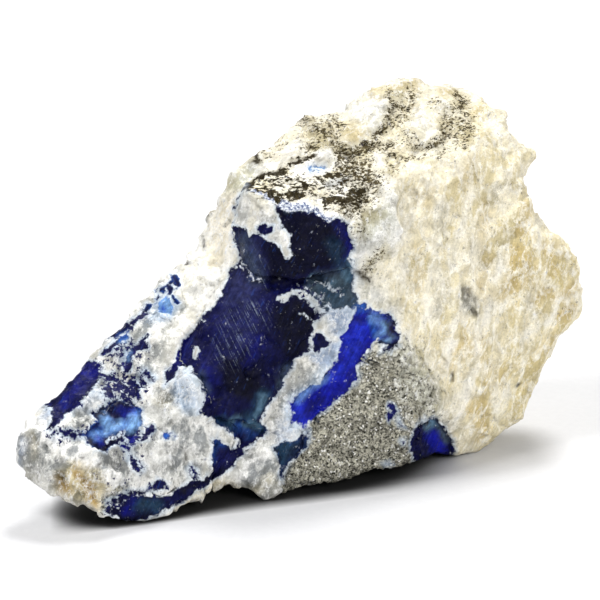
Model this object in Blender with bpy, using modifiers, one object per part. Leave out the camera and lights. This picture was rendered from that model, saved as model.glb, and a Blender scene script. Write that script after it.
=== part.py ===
"""Afghanite crystals in a hand-sized piece of calcite marble. Metres, +Z up, origin under its middle.

Shapes are given in millimetres in the sight frame, in which a point is (across, up, back) as the
display side is looked at: across is to the right, up is upwards in that view, and back is away from
the viewer. The view looks down on the stone by SIGHT_DROP_DEG. Points of the hidden side are given
upright under the key "stand", as (x, y, height above the ground), with x and y counted from the
middle of the sight frame.
"""

import math

import bmesh
import bpy
from mathutils import Matrix, Vector

MM = 0.001
SIGHT_DROP_DEG = 20.0
SIGHT_CENTRE = (-0.4, -5.4, 26.2)

# The space between a crystal and its pocket, and the length of a prism that cuts or fills one.
POCKET_GAP = 0.35
PRISM_LENGTH = 45.0

# Points of an outline closer than this are one, and its sharp corners grow at most this much more.
WELD_DISTANCE = 0.01
SHARPEST_MITRE = 2.0

# How the rock's blocks are grown, joined, softened and broken up, with the share of faces kept.
BLOCK_GROWTH = 0.22
ROCK_VOXEL = 1.25
SOFTENING = 0.5
SOFTENING_STEPS = 2
LUMP_SIZE = 9.0
LUMP_DEPTH = 1.0
CHIP_SIZE = 3.2
CHIP_DEPTH = 0.7
FACES_KEPT = 0.24
GROUND_CUT = (120.0, 120.0, 20.0)

# Corners of the blocks that the rock is joined from, each block a convex hull.
ROCK_BLOCKS = {
    "body": {
        "sight": [
            (-10, 9, 1), (8, 11, 1), (13.5, 15.5, 4), (14, 9, 2.5), (8, 3, 0.5), (5, -3, 0),
            (14, -5, 1), (14, -13, 1), (18.5, -16, 3), (17, -22.8, 6.5), (9, -24.8, 3),
            (0, -26.8, 0), (-3, -20, -1.2), (-9, -14, -2), (-12, -8, -1),
        ],
        "stand": [
            (-8, 12, 3), (10, 24, -1), (15, 25, -1), (12, 20, -1), (20, 12, 1.8), (4, 2, 2.2),
            (10, 28, 20), (-6, 20, 18),
        ],
    },
    "cream_face": {
        "sight": [
            (13.6, 15.5, 5), (20, 19.3, 8), (26, 22.8, 11.5), (32, 22.4, 15), (32.4, 18.3, 15.5),
            (32.3, 14.7, 15), (24, 5, 8), (15, 5, 3.5), (16, -4, 2.5), (20, -14, 6),
            (19.3, -22.3, 10), (25, -22.2, 14.5), (30, -18.6, 16), (32.2, -16.7, 16.5),
            (33.4, -8, 13), (33, 5, 12),
        ],
        "stand": [
            (21, 9, -1), (26.5, 12, -1), (23, 14, -1), (24, 25, 2.5), (33, 22, 12), (26, 30, 24),
            (32, 27, 30),
        ],
    },
    "back": {
        "sight": [(12, 8, 12), (24, 4, 14), (16, 24, 20)],
        "stand": [
            (4, 24, 4), (12, 29, 2), (22, 29, 3), (29, 24, 8), (7, 32, 26), (17, 34, 32),
            (28, 31, 27), (18, 33, 12), (6, 14, 3), (24, 14, 3),
        ],
    },
    "right_wing": {
        "sight": [
            (32.4, 12.6, 14), (34, 11.6, 14), (37.4, 9.2, 15), (39.7, 6.5, 16), (41, 2.8, 16.5),
            (41, -1.2, 17), (38.9, -4.2, 17), (36.6, -7, 16.5), (34, -11.2, 16.5),
            (32.2, -16.7, 16.5), (29, 6, 9.5), (29, -8, 10), (37, 6, 26), (38, -1, 27),
            (34.5, -8, 27), (30, 4, 30),
        ],
        "stand": [],
    },
    "crown": {
        "sight": [
            (13.6, 15.8, 4.5), (20, 19.8, 8), (26, 23.2, 12), (30.2, 24.3, 15), (29.6, 27, 18),
            (27.6, 28.8, 20), (25.2, 30.2, 22), (21.4, 31.3, 23), (17.1, 32, 22), (13.6, 32.1, 21),
            (10, 30.9, 19), (7, 29, 17), (5, 26.8, 15), (6, 20, 7), (8.5, 14, 2), (30, 16, 14),
            (14, 10, 4),
        ],
        "stand": [(6, 27, 38), (18, 33, 40), (30, 30, 38), (16, 32, 22), (26, 31, 24)],
    },
    "spur": {
        "sight": [
            (29, 24.6, 14), (32.1, 23, 15.5), (34.2, 22.2, 16), (34.2, 20.4, 16), (32.6, 18, 15.5),
            (30, 14, 12), (27, 20, 11), (31, 22, 24), (30, 16, 26),
        ],
        "stand": [],
    },
    "shoulder": {
        "sight": [
            (8, 27, 15), (3, 26.7, 14), (0, 25.9, 13), (-1.4, 24.5, 12), (-5, 21.6, 10),
            (-7.2, 20.2, 9), (-10.6, 18, 8), (-11.5, 15.7, 7.5), (-13, 12.9, 7), (-14.4, 9.3, 6),
            (-12, 2, 2), (-7, 14, 2), (2, 20, 5), (8, 14, 3), (0, 2, 2), (9, 2, 3),
        ],
        "stand": [(-8, 22, 30), (4, 29, 36), (-12, 16, 20), (-6, 24, 16), (6, 24, 6)],
    },
    "slope": {
        "sight": [
            (-14.4, 9.3, 6), (-17, 5.2, 5.5), (-20.9, 1.6, 4), (-24.5, -3.4, 1.5),
            (-30.2, -8.4, -2.5), (-26, -14, -7), (-18, -10, -4), (-11, 2, 0), (-9, -8, -1),
            (-10, -18, -4), (-8, -24, -3), (-20, -22, -9),
        ],
        "stand": [(-14, 14, 22), (-20, 7, 18), (-26, 2, 10), (-10, 16, 6), (-14, 4, 2), (-4, 8, 2.5)],
    },
    "left_ledge": {
        "sight": [
            (-24.5, -3.6, 1), (-30.2, -8.6, -2.5), (-32.3, -11.4, -4.5), (-35.9, -14.6, -7.5),
            (-38.5, -18, -10), (-33, -17, -12), (-26, -20, -12), (-18, -20, -9), (-17, -12, -4),
            (-12, -22, -5), (-13, -27.6, -6), (-16, -28.8, -8), (-18.8, -30.5, -9.5),
            (-21.5, -31.4, -11), (-24.5, -31.6, -12), (-28, -29, -14),
        ],
        "stand": [
            (-28, -2, 6), (-34, -8, 8), (-22, -6, 2.5), (-14, 0, 2.5), (-17, -16, -1),
            (-23, -18, -1), (-19, -12, -1),
        ],
    },
    "nose": {
        "sight": [
            (-36, -14.8, -8), (-39.9, -18.6, -11), (-40.5, -21.4, -12.5), (-40.3, -23.8, -13),
            (-37.8, -26.6, -13.5), (-35, -28.1, -13.5), (-32.1, -29.2, -13), (-28.6, -30.6, -12.5),
            (-24.5, -31.4, -12), (-34, -18, -14), (-28, -20, -14), (-30, -25, -15.5),
            (-35, -23, -15.5), (-24, -26, -13.5),
        ],
        "stand": [(-35, -12, 8), (-36, -14, 14), (-28, -12, 4.5), (-26, -10, 12)],
    },
    "side_lump": {
        "sight": [
            (6.5, 12, 0), (13.7, 15.6, 2.5), (14, 9.5, 1.5), (12, 7, 1.5), (8, 3, -0.5),
            (7, 8, -1), (9, 18, 5), (12, 12, 6), (8, 4, 5),
        ],
        "stand": [],
    },
    "pale_knob": {
        "sight": [
            (-18, -10.5, -5), (-14, -10.3, -6), (-13.7, -15.4, -6.5), (-17.5, -15.5, -7.5),
            (-16, -12.5, -7.5), (-20, -14, -5), (-12, -18, -5), (-16, -12, 0),
        ],
        "stand": [],
    },
    "foot_bump": {
        "sight": [
            (-5.5, -18.5, -2), (-10.5, -26, -2.5), (-7.1, -27.6, -3), (-5, -28.8, -2.5),
            (-3.4, -28.1, -1), (-2.8, -22, -2), (-6, -23, -4), (-3, -24, 4), (-9, -25, 2),
        ],
        "stand": [],
    },
}

# Corners of the main crystal's prisms, which stand proud of the rock.
MAIN_CRYSTAL_BLOCKS = {
    "stub": [
        (-8.2, 15.8, -1.5), (-5.4, 13.8, -4.8), (0, 12.5, -5.3), (6.2, 11.3, -4.0),
        (7.4, 10.3, -2.6), (1.4, 20.3, 4.5), (9.5, 16.5, 3.5), (-9.5, 11.4, -0.5),
        (-9.2, 8.6, -1.0), (-8.0, 4.8, -1.8), (-5.4, 3.4, -4.0), (-1.4, 2.8, -4.2),
        (5, 3.8, -2.4), (7.6, 5.2, -1.4), (7.9, 7.2, -1.4), (-7, 16, 5), (-7, 5, 5), (6, 5, 5),
    ],
    "blade_top": [
        (-9.2, 5.2, -1.2), (-11, 1.1, -1.2), (-15.3, -4.1, -2.2), (-18.6, -10.6, -4.2),
        (-14.6, -10.8, -5.4), (-3.6, 1.6, -4.2), (-8.6, -10, -6.2), (3.6, 2.6, -1.2),
        (1.7, -4, -1.0), (-2, -9.4, -1.2), (-8, 3, 4), (1, 0, 4), (-12, -9, 2),
    ],
    "blade_foot": [
        (-14.4, -9.6, -5.0), (-8.6, -9.6, -6.1), (-1.9, -9.2, -1.2), (-13.6, -15.8, -5.2),
        (-10.7, -16.6, -5.9), (-7, -17.4, -3.8), (-5.0, -18.2, -1.8), (-12, -12, 2), (-6, -15, 3),
    ],
}

# Outlines of what fills a pocket in the rock, as (across, up), with the depth of the pocket's floor.
# An outline that passes the rock's own edge leaves the crystal open there.
MAIN_CRYSTAL_ROOTS = {
    "under_tooth": {
        "floor": 1.5,
        "outline": [
            (-13.7, -16.4), (-12, -16.9), (-10, -18.3), (-8.2, -20.1), (-8.7, -21), (-10.9, -20.6),
            (-12.4, -20.6), (-12.7, -22.1), (-13.4, -24.3), (-14.2, -26.4), (-12.6, -26.4),
            (-10.9, -25.3), (-9.3, -23.3), (-8.1, -21.9), (-6.7, -20.6), (-5.4, -19.4), (-5.1, -18),
            (-7.1, -14), (-12.5, -14),
        ],
    },
    "underside_band": {
        "floor": -5.5,
        "outline": [
            (-13, -25.4), (-16.1, -26.2), (-18.3, -27.1), (-20, -28.2), (-21.4, -27.4),
            (-23.9, -27.1), (-25.7, -27), (-27.9, -28.3), (-28.9, -29.9), (-28.6, -33),
            (-23.4, -34), (-19.7, -31.2), (-16.1, -28.8), (-12.8, -27),
        ],
    },
}

INCLUSIONS = {
    "afghanite_bright_crystal": {
        "floor": 5.0,
        "outline": [
            (5.1, -6.1), (5.6, -4.4), (7.3, -3), (9.1, -1.6), (11, -1.9), (13, -2.6), (13.9, -4.7),
            (13.1, -6.7), (11.6, -5.7), (9.9, -6.9), (8.7, -9), (7.6, -11.9), (5.6, -14),
            (3.3, -15.6), (0.4, -18.1), (-1, -17.7), (-1.4, -16.3), (-1, -14.9), (1.4, -12.6),
            (3.7, -10.9), (4.9, -8.6),
        ],
    },
    "afghanite_foot_crystal": {
        "floor": 12.0,
        "outline": [
            (16.9, -19.9), (17.3, -18.1), (18.4, -17.1), (20.1, -17.3), (21.3, -19.1), (22, -21),
            (22, -25), (17, -25),
        ],
    },
    "afghanite_nose_crystal": {
        "floor": -4.5,
        "outline": [
            (-35.4, -18.1), (-35.3, -15.6), (-38, -14), (-34.5, -9), (-31, -6), (-28.6, -9.4),
            (-28.6, -11.3), (-29.4, -12.9), (-31.3, -14.7), (-33.6, -16.6),
        ],
    },
    "afghanite_zoned_crystal": {
        "floor": -6.0,
        "outline": [
            (-29.7, -16.6), (-28.1, -15.9), (-26, -14.7), (-23.3, -15.3), (-22.7, -16.6),
            (-23.3, -18.4), (-24.4, -20.6), (-27, -21.4), (-29.7, -21.1), (-31.7, -19.7),
            (-30.1, -18.1),
        ],
    },
    "afghanite_ridge_crystal": {
        "floor": 8.0,
        "outline": [
            (-18.4, 7), (-17.4, 3), (-17, 0), (-17.4, -1.7), (-18.6, -2.9), (-20.4, -2.9),
            (-25, -1.4), (-22.5, 4),
        ],
    },
    "pyrite_grain_mass": {
        "floor": 8.5,
        "outline": [
            (11.7, -6.7), (10.6, -7.8), (9.5, -9.5), (8.4, -12.3), (6.2, -14.8), (3.9, -16.4),
            (1.2, -18.8), (0, -20), (-0.4, -22.1), (-1.4, -24.3), (-1.9, -26.1), (-2.3, -31),
            (16, -31), (16, -20), (17, -17), (17.9, -14.3), (18.6, -10.7), (16.9, -7.4),
            (14.9, -6.5), (13.2, -7.6),
        ],
    },
}

# Linear base colour, roughness and metallic value of each piece.
SURFACES = {
    "calcite_matrix": ((0.70, 0.66, 0.54), 0.6, 0.0),
    "afghanite_main_crystal": ((0.02, 0.025, 0.09), 0.3, 0.0),
    "afghanite_bright_crystal": ((0.02, 0.04, 0.42), 0.25, 0.0),
    "afghanite_foot_crystal": ((0.02, 0.03, 0.20), 0.25, 0.0),
    "afghanite_nose_crystal": ((0.015, 0.02, 0.12), 0.25, 0.0),
    "afghanite_zoned_crystal": ((0.10, 0.22, 0.45), 0.25, 0.0),
    "afghanite_ridge_crystal": ((0.04, 0.10, 0.30), 0.25, 0.0),
    "pyrite_grain_mass": ((0.24, 0.23, 0.21), 0.4, 0.5),
}


def sight_axes():
    """The part's frame from the sight frame, in millimetres: right, up, and towards the viewer."""
    drop = math.radians(SIGHT_DROP_DEG)
    return Matrix((
        (1.0, 0.0, 0.0, SIGHT_CENTRE[0]),
        (0.0, math.sin(drop), -math.cos(drop), SIGHT_CENTRE[1]),
        (0.0, math.cos(drop), math.sin(drop), SIGHT_CENTRE[2]),
        (0.0, 0.0, 0.0, 1.0),
    ))


def sight_point(across, up, back):
    return sight_axes() @ Vector((across, up, -back))


def standing_point(x, y, height):
    return Vector((SIGHT_CENTRE[0] + x, SIGHT_CENTRE[1] + y, height))


def new_collection(name):
    collection = bpy.data.collections.new(name)
    bpy.context.scene.collection.children.link(collection)
    return collection


def new_object(name, mesh, collection):
    obj = bpy.data.objects.new(name, mesh)
    collection.objects.link(obj)
    return obj


def as_guide(obj):
    obj.hide_render = True
    obj.display_type = "WIRE"
    return obj


def add_hull(bm, corners, grow=0.0):
    """Add the convex hull of the corners, grown by the same distance along each axis."""
    steps = (-grow, grow) if grow else (0.0,)
    shifts = [Vector((x, y, z)) for x in steps for y in steps for z in steps]
    points = [bm.verts.new((corner + shift) * MM) for corner in corners for shift in shifts]
    made = bmesh.ops.convex_hull(bm, input=points)
    unused = set(made["geom_interior"]) | set(made["geom_unused"])
    bmesh.ops.delete(bm, geom=[item for item in unused if item.is_valid], context="VERTS")


def hull_object(name, blocks, collection, grow=0.0):
    """One object with a closed hull for each list of corners."""
    bm = bmesh.new()
    for corners in blocks:
        add_hull(bm, corners, grow)
    bmesh.ops.recalc_face_normals(bm, faces=bm.faces)
    mesh = bpy.data.meshes.new(name)
    bm.to_mesh(mesh)
    bm.free()
    return new_object(name, mesh, collection)


def evaluated_mesh(obj):
    return bpy.data.meshes.new_from_object(obj.evaluated_get(bpy.context.evaluated_depsgraph_get()))


def grown_outline(outline, grow):
    """The outline with each side moved outwards, in millimetres, whichever way round it runs."""
    points = [Vector(point) for point in outline]
    area = sum(a.x * b.y - b.x * a.y for a, b in zip(points, points[1:] + points[:1]))
    side = 1.0 if area > 0 else -1.0
    grown = []
    for before, here, after in zip(points[-1:] + points[:-1], points, points[1:] + points[:1]):
        first = (here - before).normalized()
        second = (after - here).normalized()
        side_normal = Vector((first.y, -first.x)) * side
        normal = (side_normal + Vector((second.y, -second.x)) * side).normalized()
        grown.append(here + normal * grow / max(normal.dot(side_normal), 1.0 / SHARPEST_MITRE))
    return grown


def outline_prism(name, outline, floor, collection, grow=0.0):
    """An outline of the display side, run straight forward from its floor to in front of the rock."""
    curve = bpy.data.curves.new(name, "CURVE")
    curve.dimensions = "2D"
    curve.fill_mode = "BOTH"
    curve.extrude = PRISM_LENGTH / 2 * MM
    spline = curve.splines.new("POLY")
    points = grown_outline(outline, grow)
    spline.points.add(len(points) - 1)
    for target, point in zip(spline.points, points):
        target.co = (point.x * MM, point.y * MM, 0.0, 1.0)
    spline.use_cyclic_u = True
    drawn = new_object(name, curve, collection)
    mesh = evaluated_mesh(drawn)
    bpy.data.objects.remove(drawn)
    bm = bmesh.new()
    bm.from_mesh(mesh)
    bmesh.ops.remove_doubles(bm, verts=bm.verts, dist=WELD_DISTANCE * MM)
    bmesh.ops.recalc_face_normals(bm, faces=bm.faces)
    bm.to_mesh(mesh)
    bm.free()
    middle = Matrix.Translation((0, 0, PRISM_LENGTH / 2 - floor - grow))
    mesh.transform(Matrix.Scale(MM, 4) @ sight_axes() @ middle @ Matrix.Scale(1 / MM, 4))
    return new_object(name, mesh, collection)


def boolean(obj, other, operation):
    modifier = obj.modifiers.new(operation.title(), "BOOLEAN")
    modifier.operation = operation
    modifier.object = other


def displace(obj, name, kind, size, depth):
    texture = bpy.data.textures.new(name, kind)
    texture.noise_scale = size * MM
    modifier = obj.modifiers.new(name, "DISPLACE")
    modifier.texture = texture
    modifier.texture_coords = "GLOBAL"
    modifier.strength = depth * MM
    modifier.mid_level = 0.5


def rock_blank(guides):
    """The whole stone before its pockets: joined blocks, broken surface, ground off where it rests."""
    blocks = []
    for block in ROCK_BLOCKS.values():
        corners = [sight_point(*corner) for corner in block["sight"]]
        corners += [standing_point(*corner) for corner in block["stand"]]
        blocks.append(corners)
    rough = as_guide(hull_object("rough_rock", blocks, guides, BLOCK_GROWTH))
    remesh = rough.modifiers.new("Join", "REMESH")
    remesh.mode = "VOXEL"
    remesh.voxel_size = ROCK_VOXEL * MM
    soften = rough.modifiers.new("Soften", "SMOOTH")
    soften.factor = SOFTENING
    soften.iterations = SOFTENING_STEPS
    displace(rough, "Lumps", "CLOUDS", LUMP_SIZE, LUMP_DEPTH)
    displace(rough, "Chips", "VORONOI", CHIP_SIZE, CHIP_DEPTH)
    decimate = rough.modifiers.new("Facets", "DECIMATE")
    decimate.ratio = FACES_KEPT
    bm = bmesh.new()
    bmesh.ops.create_cube(bm, size=1.0)
    mesh = bpy.data.meshes.new("ground_cut")
    bm.to_mesh(mesh)
    bm.free()
    mesh.transform(Matrix.Diagonal(Vector(GROUND_CUT) * MM).to_4x4())
    ground = as_guide(new_object("ground_cut", mesh, guides))
    ground.location.z = -GROUND_CUT[2] / 2 * MM
    boolean(rough, ground, "DIFFERENCE")
    bpy.context.view_layer.update()
    return as_guide(new_object("rock_blank", evaluated_mesh(rough), guides))


def main_crystal(blank, parts, guides, grow):
    """The proud prisms of the main crystal with its roots, which lie in the rock's surface."""
    crystal = None
    for name, corners in MAIN_CRYSTAL_BLOCKS.items():
        points = [sight_point(*corner) for corner in corners]
        block = hull_object(f"{name}_{'pocket' if grow else 'block'}", [points], guides, grow)
        if crystal is None:
            crystal = block
        else:
            boolean(crystal, as_guide(block), "UNION")
    for name, root in MAIN_CRYSTAL_ROOTS.items():
        kind = "pocket" if grow else "root"
        prism = outline_prism(f"{name}_{kind}", root["outline"], root["floor"], guides, grow)
        as_guide(prism)
        if not grow:
            boolean(prism, blank, "INTERSECT")
        boolean(crystal, prism, "UNION")
    bpy.context.view_layer.update()
    name = "main_crystal_pocket" if grow else "afghanite_main_crystal"
    joined = new_object(name, evaluated_mesh(crystal), guides if grow else parts)
    as_guide(crystal)
    if grow:
        as_guide(joined)
    return joined


def paint(obj):
    colour, roughness, metallic = SURFACES[obj.name]
    material = bpy.data.materials.new(obj.name)
    material.use_nodes = True
    shader = material.node_tree.nodes["Principled BSDF"]
    shader.inputs["Base Color"].default_value = (*colour, 1.0)
    shader.inputs["Roughness"].default_value = roughness
    shader.inputs["Metallic"].default_value = metallic
    obj.data.materials.clear()
    obj.data.materials.append(material)


def main():
    for obj in list(bpy.data.objects):
        bpy.data.objects.remove(obj)
    parts = new_collection("Afghanite in calcite")
    guides = new_collection("Blocks and cutters")
    blank = rock_blank(guides)

    matrix = new_object("calcite_matrix", blank.data.copy(), parts)
    crystal = main_crystal(blank, parts, guides, 0.0)
    boolean(matrix, main_crystal(blank, parts, guides, POCKET_GAP), "DIFFERENCE")
    paint(crystal)

    for name, inclusion in INCLUSIONS.items():
        piece = outline_prism(name, inclusion["outline"], inclusion["floor"], parts)
        boolean(piece, blank, "INTERSECT")
        pocket = outline_prism(
            f"{name}_pocket", inclusion["outline"], inclusion["floor"], guides, POCKET_GAP)
        boolean(matrix, as_guide(pocket), "DIFFERENCE")
        paint(piece)
    paint(matrix)


main()
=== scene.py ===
"""The looks of a piece of calcite marble with afghanite crystals and pyrite grains.

Every piece is a fine copy of its CAD node. It is bent to the specimen's outline, roughened grain by
grain, and painted by listed strokes. The strokes and outlines lie in the display view: a path
lists its points' x and y in turn, in view steps, a seventh of a millimetre each, from the top left of
a square of 600 steps whose middle is SIGHT_CENTRE, with y downwards.
"""

import collections
import math

import bmesh
import bpy
import numpy as np
from mathutils import Matrix, Vector
from mathutils.bvhtree import BVHTree


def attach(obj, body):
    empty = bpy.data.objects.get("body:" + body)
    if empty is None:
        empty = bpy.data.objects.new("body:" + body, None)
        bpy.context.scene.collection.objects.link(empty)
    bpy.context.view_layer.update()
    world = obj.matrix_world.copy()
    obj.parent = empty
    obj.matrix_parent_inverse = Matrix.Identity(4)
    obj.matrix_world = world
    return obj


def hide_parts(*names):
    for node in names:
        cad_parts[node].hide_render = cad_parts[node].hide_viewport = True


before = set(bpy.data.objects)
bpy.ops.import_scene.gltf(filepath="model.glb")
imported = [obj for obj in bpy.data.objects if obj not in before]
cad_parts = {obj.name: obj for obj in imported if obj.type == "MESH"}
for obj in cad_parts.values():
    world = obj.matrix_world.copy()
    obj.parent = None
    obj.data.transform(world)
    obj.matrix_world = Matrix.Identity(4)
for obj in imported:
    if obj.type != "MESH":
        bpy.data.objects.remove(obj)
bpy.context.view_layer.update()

MM = 0.001
SIGHT_DROP = math.radians(20.0)
SIGHT_CENTRE = np.array((-0.4, -5.4, 26.2))
VIEW_MIDDLE = np.array((300.0, 300.0))
STEPS_PER_MM = 7.0
VIEW_SIDE = 600.0

CAMERA_DISTANCE = 2.0
SENSOR_WIDTH = 36.0

FLOOR_HALF = 0.5
WORLD_STRENGTH = 0.36
LIGHT_LEVEL = 1.02

# Each lamp: its name, place, width and power. All of them aim at one point.
LAMP_AIM = (0.0, 0.0, 0.02)
LAMPS = [
    ("top", (0.16, 0.55, 0.85), 0.35, 9.0),
    ("left", (-0.5, -0.2, 0.75), 0.4, 5.5),
    ("right", (0.5, -0.65, 0.45), 0.35, 4.6),
]

# The contact shadow on the floor, in metres: how near the stone it lies, where it starts at the left,
# where it fades at the right, and where it starts in front, along a slanted line
CONTACT_REACH = 0.009
SHADOW_START = (-0.036, -0.026)
SHADOW_FADE = (0.0, 0.024)
SHADOW_FRONT = (-0.019, -0.015)
SHADOW_SLANT = 0.364
SHADOW_DEPTH = 6.0

# Points nearer the ground than this, in millimetres, move less, and none goes below it.
GROUND_HOLD = 1.2

# How strongly noise moves the strokes, in view steps, and all the pieces alike, in millimetres
WAVE_STEPS = 6.0
WAVER = 0.9

# The mask between calcite and crystal has edges at least this soft, in view steps.
SMOOTHEST = 7.0

# Faces that turn away from the view by these cosines are out of sight.
TURNED = (-0.4, -0.1)

# Faces this far behind another part of their piece, in millimetres, aren't painted as seen.
HIDDEN_BEHIND = 4.0

# The stone's pocket walls and the grain mass's rim, where they are this close to a crystal, are drawn
# a little way into it, unless they face away from it by this cosine.
POCKET_REACH = 1.5
GRAIN_REACH = 3.0
FACING_AWAY = -0.3
POCKET_BITE = 0.12

# The specimen's outline in the view, clockwise from the nose, the number of directions in which it is
# compared, and how fast its bend fades inwards
DIRECTIONS = 720
OUTLINE_MIDDLE = (310.0, 300.0)
OUTLINE_FADE = 3.0
OUTLINE = [
    19, 450, 22, 430, 35, 415, 50, 402, 75, 380, 90, 360, 110, 340, 130, 324, 143, 307, 155, 290, 168, 276,
    182, 265, 192, 250, 200, 235, 206, 222, 210, 210, 221, 190, 227, 175, 238, 166, 250, 160, 265, 150,
    290, 130, 300, 120, 320, 115, 340, 111, 350, 98, 370, 85, 395, 77, 420, 78, 430, 84, 450, 83, 475, 90,
    492, 100, 505, 112, 508, 122, 510, 131, 525, 142, 537, 146, 537, 155, 530, 164, 527, 172, 526, 185,
    526, 197, 537, 220, 548, 229, 560, 237, 575, 255, 581, 268, 584, 280, 583, 295, 584, 308, 577, 318,
    570, 327, 555, 347, 546, 362, 537, 377, 531, 397, 525, 417, 510, 429, 490, 445, 478, 454, 470, 452,
    450, 455, 435, 456, 400, 465, 370, 472, 330, 482, 300, 488, 285, 492, 275, 495, 265, 500, 250, 492,
    230, 485, 210, 492, 190, 500, 170, 512, 150, 518, 130, 519, 100, 512, 75, 502, 55, 495, 37, 485,
    20, 465,
]


# Coordinates of the view

def sight_of(points):
    """Across, up and back of world points, all in millimetres."""
    x, y, z = (points - SIGHT_CENTRE).T
    up = y * math.sin(SIGHT_DROP) + z * math.cos(SIGHT_DROP)
    back = y * math.cos(SIGHT_DROP) - z * math.sin(SIGHT_DROP)
    return np.stack((x, up, back), axis=1)


def world_of(sight):
    """World points from their across, up and back, all in millimetres."""
    across, up, back = sight.T
    y = up * math.sin(SIGHT_DROP) + back * math.cos(SIGHT_DROP)
    z = up * math.cos(SIGHT_DROP) - back * math.sin(SIGHT_DROP)
    return np.stack((across, y, z), axis=1) + SIGHT_CENTRE


def view_of(sight):
    """View steps of sight points, with y downwards."""
    return VIEW_MIDDLE + sight[:, :2] * (STEPS_PER_MM, -STEPS_PER_MM)


# Repeatable noise

def mixed(cells, seed):
    """A random value from 0 to 1 for each whole-numbered cell."""
    x, y, z = cells.astype(np.int64).T & 0xFFFFFFFF
    h = (x * 374761393 + y * 668265263 + z * 2147483647 + seed * 1274126177) & 0xFFFFFFFF
    h = ((h ^ (h >> 13)) * 1274126177) & 0xFFFFFFFF
    h = ((h ^ (h >> 16)) * 2654435761) & 0xFFFFFFFF
    return ((h ^ (h >> 15)) & 0xFFFFFF) / float(0x1000000)


def smooth_noise(points, size, seed, octaves=1, rough=0.5):
    """Noise around zero, most of it between -0.5 and 0.5, with features about a size across."""
    total = np.zeros(len(points))
    share = 1.0
    for octave in range(octaves):
        place = points / size * 2.0 ** octave + 17.3 * octave
        cell = np.floor(place)
        part = place - cell
        part = part * part * part * (part * (part * 6.0 - 15.0) + 10.0)
        value = np.zeros(len(points))
        for corner in np.ndindex(2, 2, 2):
            weight = np.prod(np.where(corner, part, 1.0 - part), axis=1)
            value += weight * mixed(cell + corner, seed + octave)
        total += (value - 0.5) * share
        share *= rough
    return total


def noise_vectors(points, size, seed, octaves=1, rough=0.5, axes=3):
    """Smooth noise of its own for each axis."""
    return np.stack([smooth_noise(points, size, seed + k, octaves, rough) for k in range(axes)], axis=1)


def grains(points, size, seed):
    """The grain that each point lies in: distance to its edge, offset from its middle, random values."""
    place = points / size
    cell = np.floor(place)
    nearest = np.full(len(points), 9.0)
    second = nearest.copy()
    offset = np.zeros((len(points), 3))
    owner = np.zeros((len(points), 3))
    for step in np.ndindex(3, 3, 3):
        other = cell + step - 1
        middle = other + np.stack([mixed(other, seed + k) for k in range(3)], axis=1)
        gap = place - middle
        distance = np.linalg.norm(gap, axis=1)
        closer = distance < nearest
        second = np.where(closer, nearest, np.minimum(second, distance))
        nearest = np.where(closer, distance, nearest)
        offset[closer] = gap[closer]
        owner[closer] = other[closer]
    chance = np.stack([mixed(owner, seed + 10 + k) for k in range(5)], axis=1)
    return (second - nearest) * size, offset * size, chance


# Strokes and outlines

def depth_in(view, radius, path):
    """How far each view point lies inside a stroke of that radius, or inside an outline if it is 0."""
    if radius and len(path) == 1:
        return radius - np.linalg.norm(view - path[0], axis=1)
    ends = path[1:] if radius else np.roll(path, -1, axis=0)
    nearest = np.full(len(view), 1e6)
    inside = np.zeros(len(view), bool)
    for start, end in zip(path, ends):
        run = end - start
        along = np.clip((view - start) @ run / max(run @ run, 1e-9), 0.0, 1.0)
        nearest = np.minimum(nearest, np.linalg.norm(view - start - along[:, None] * run, axis=1))
        crosses = (start[1] > view[:, 1]) != (end[1] > view[:, 1])
        at = start[0] + (view[:, 1] - start[1]) * run[0] / (run[1] if run[1] else 1e-9)
        inside ^= crosses & (view[:, 0] < at)
    if radius:
        return radius - nearest
    return np.where(inside, nearest, -nearest)


def cover_of(view, softness, radius, points):
    """From 0 outside to 1 inside a stroke or outline, over an edge as wide as the softness."""
    path = np.array(points, float).reshape(-1, 2)
    reach = softness + radius
    near = np.all((view > path.min(axis=0) - reach) & (view < path.max(axis=0) + reach), axis=1)
    cover = np.zeros(len(view))
    cover[near] = np.clip(0.5 + depth_in(view[near], radius, path) / softness, 0.0, 1.0)
    return cover


def eased(value, low, high):
    """A smooth rise from 0 at the low value to 1 at the high one."""
    part = np.clip((value - low) / (high - low), 0.0, 1.0)
    return part * part * (3.0 - 2.0 * part)


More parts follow.
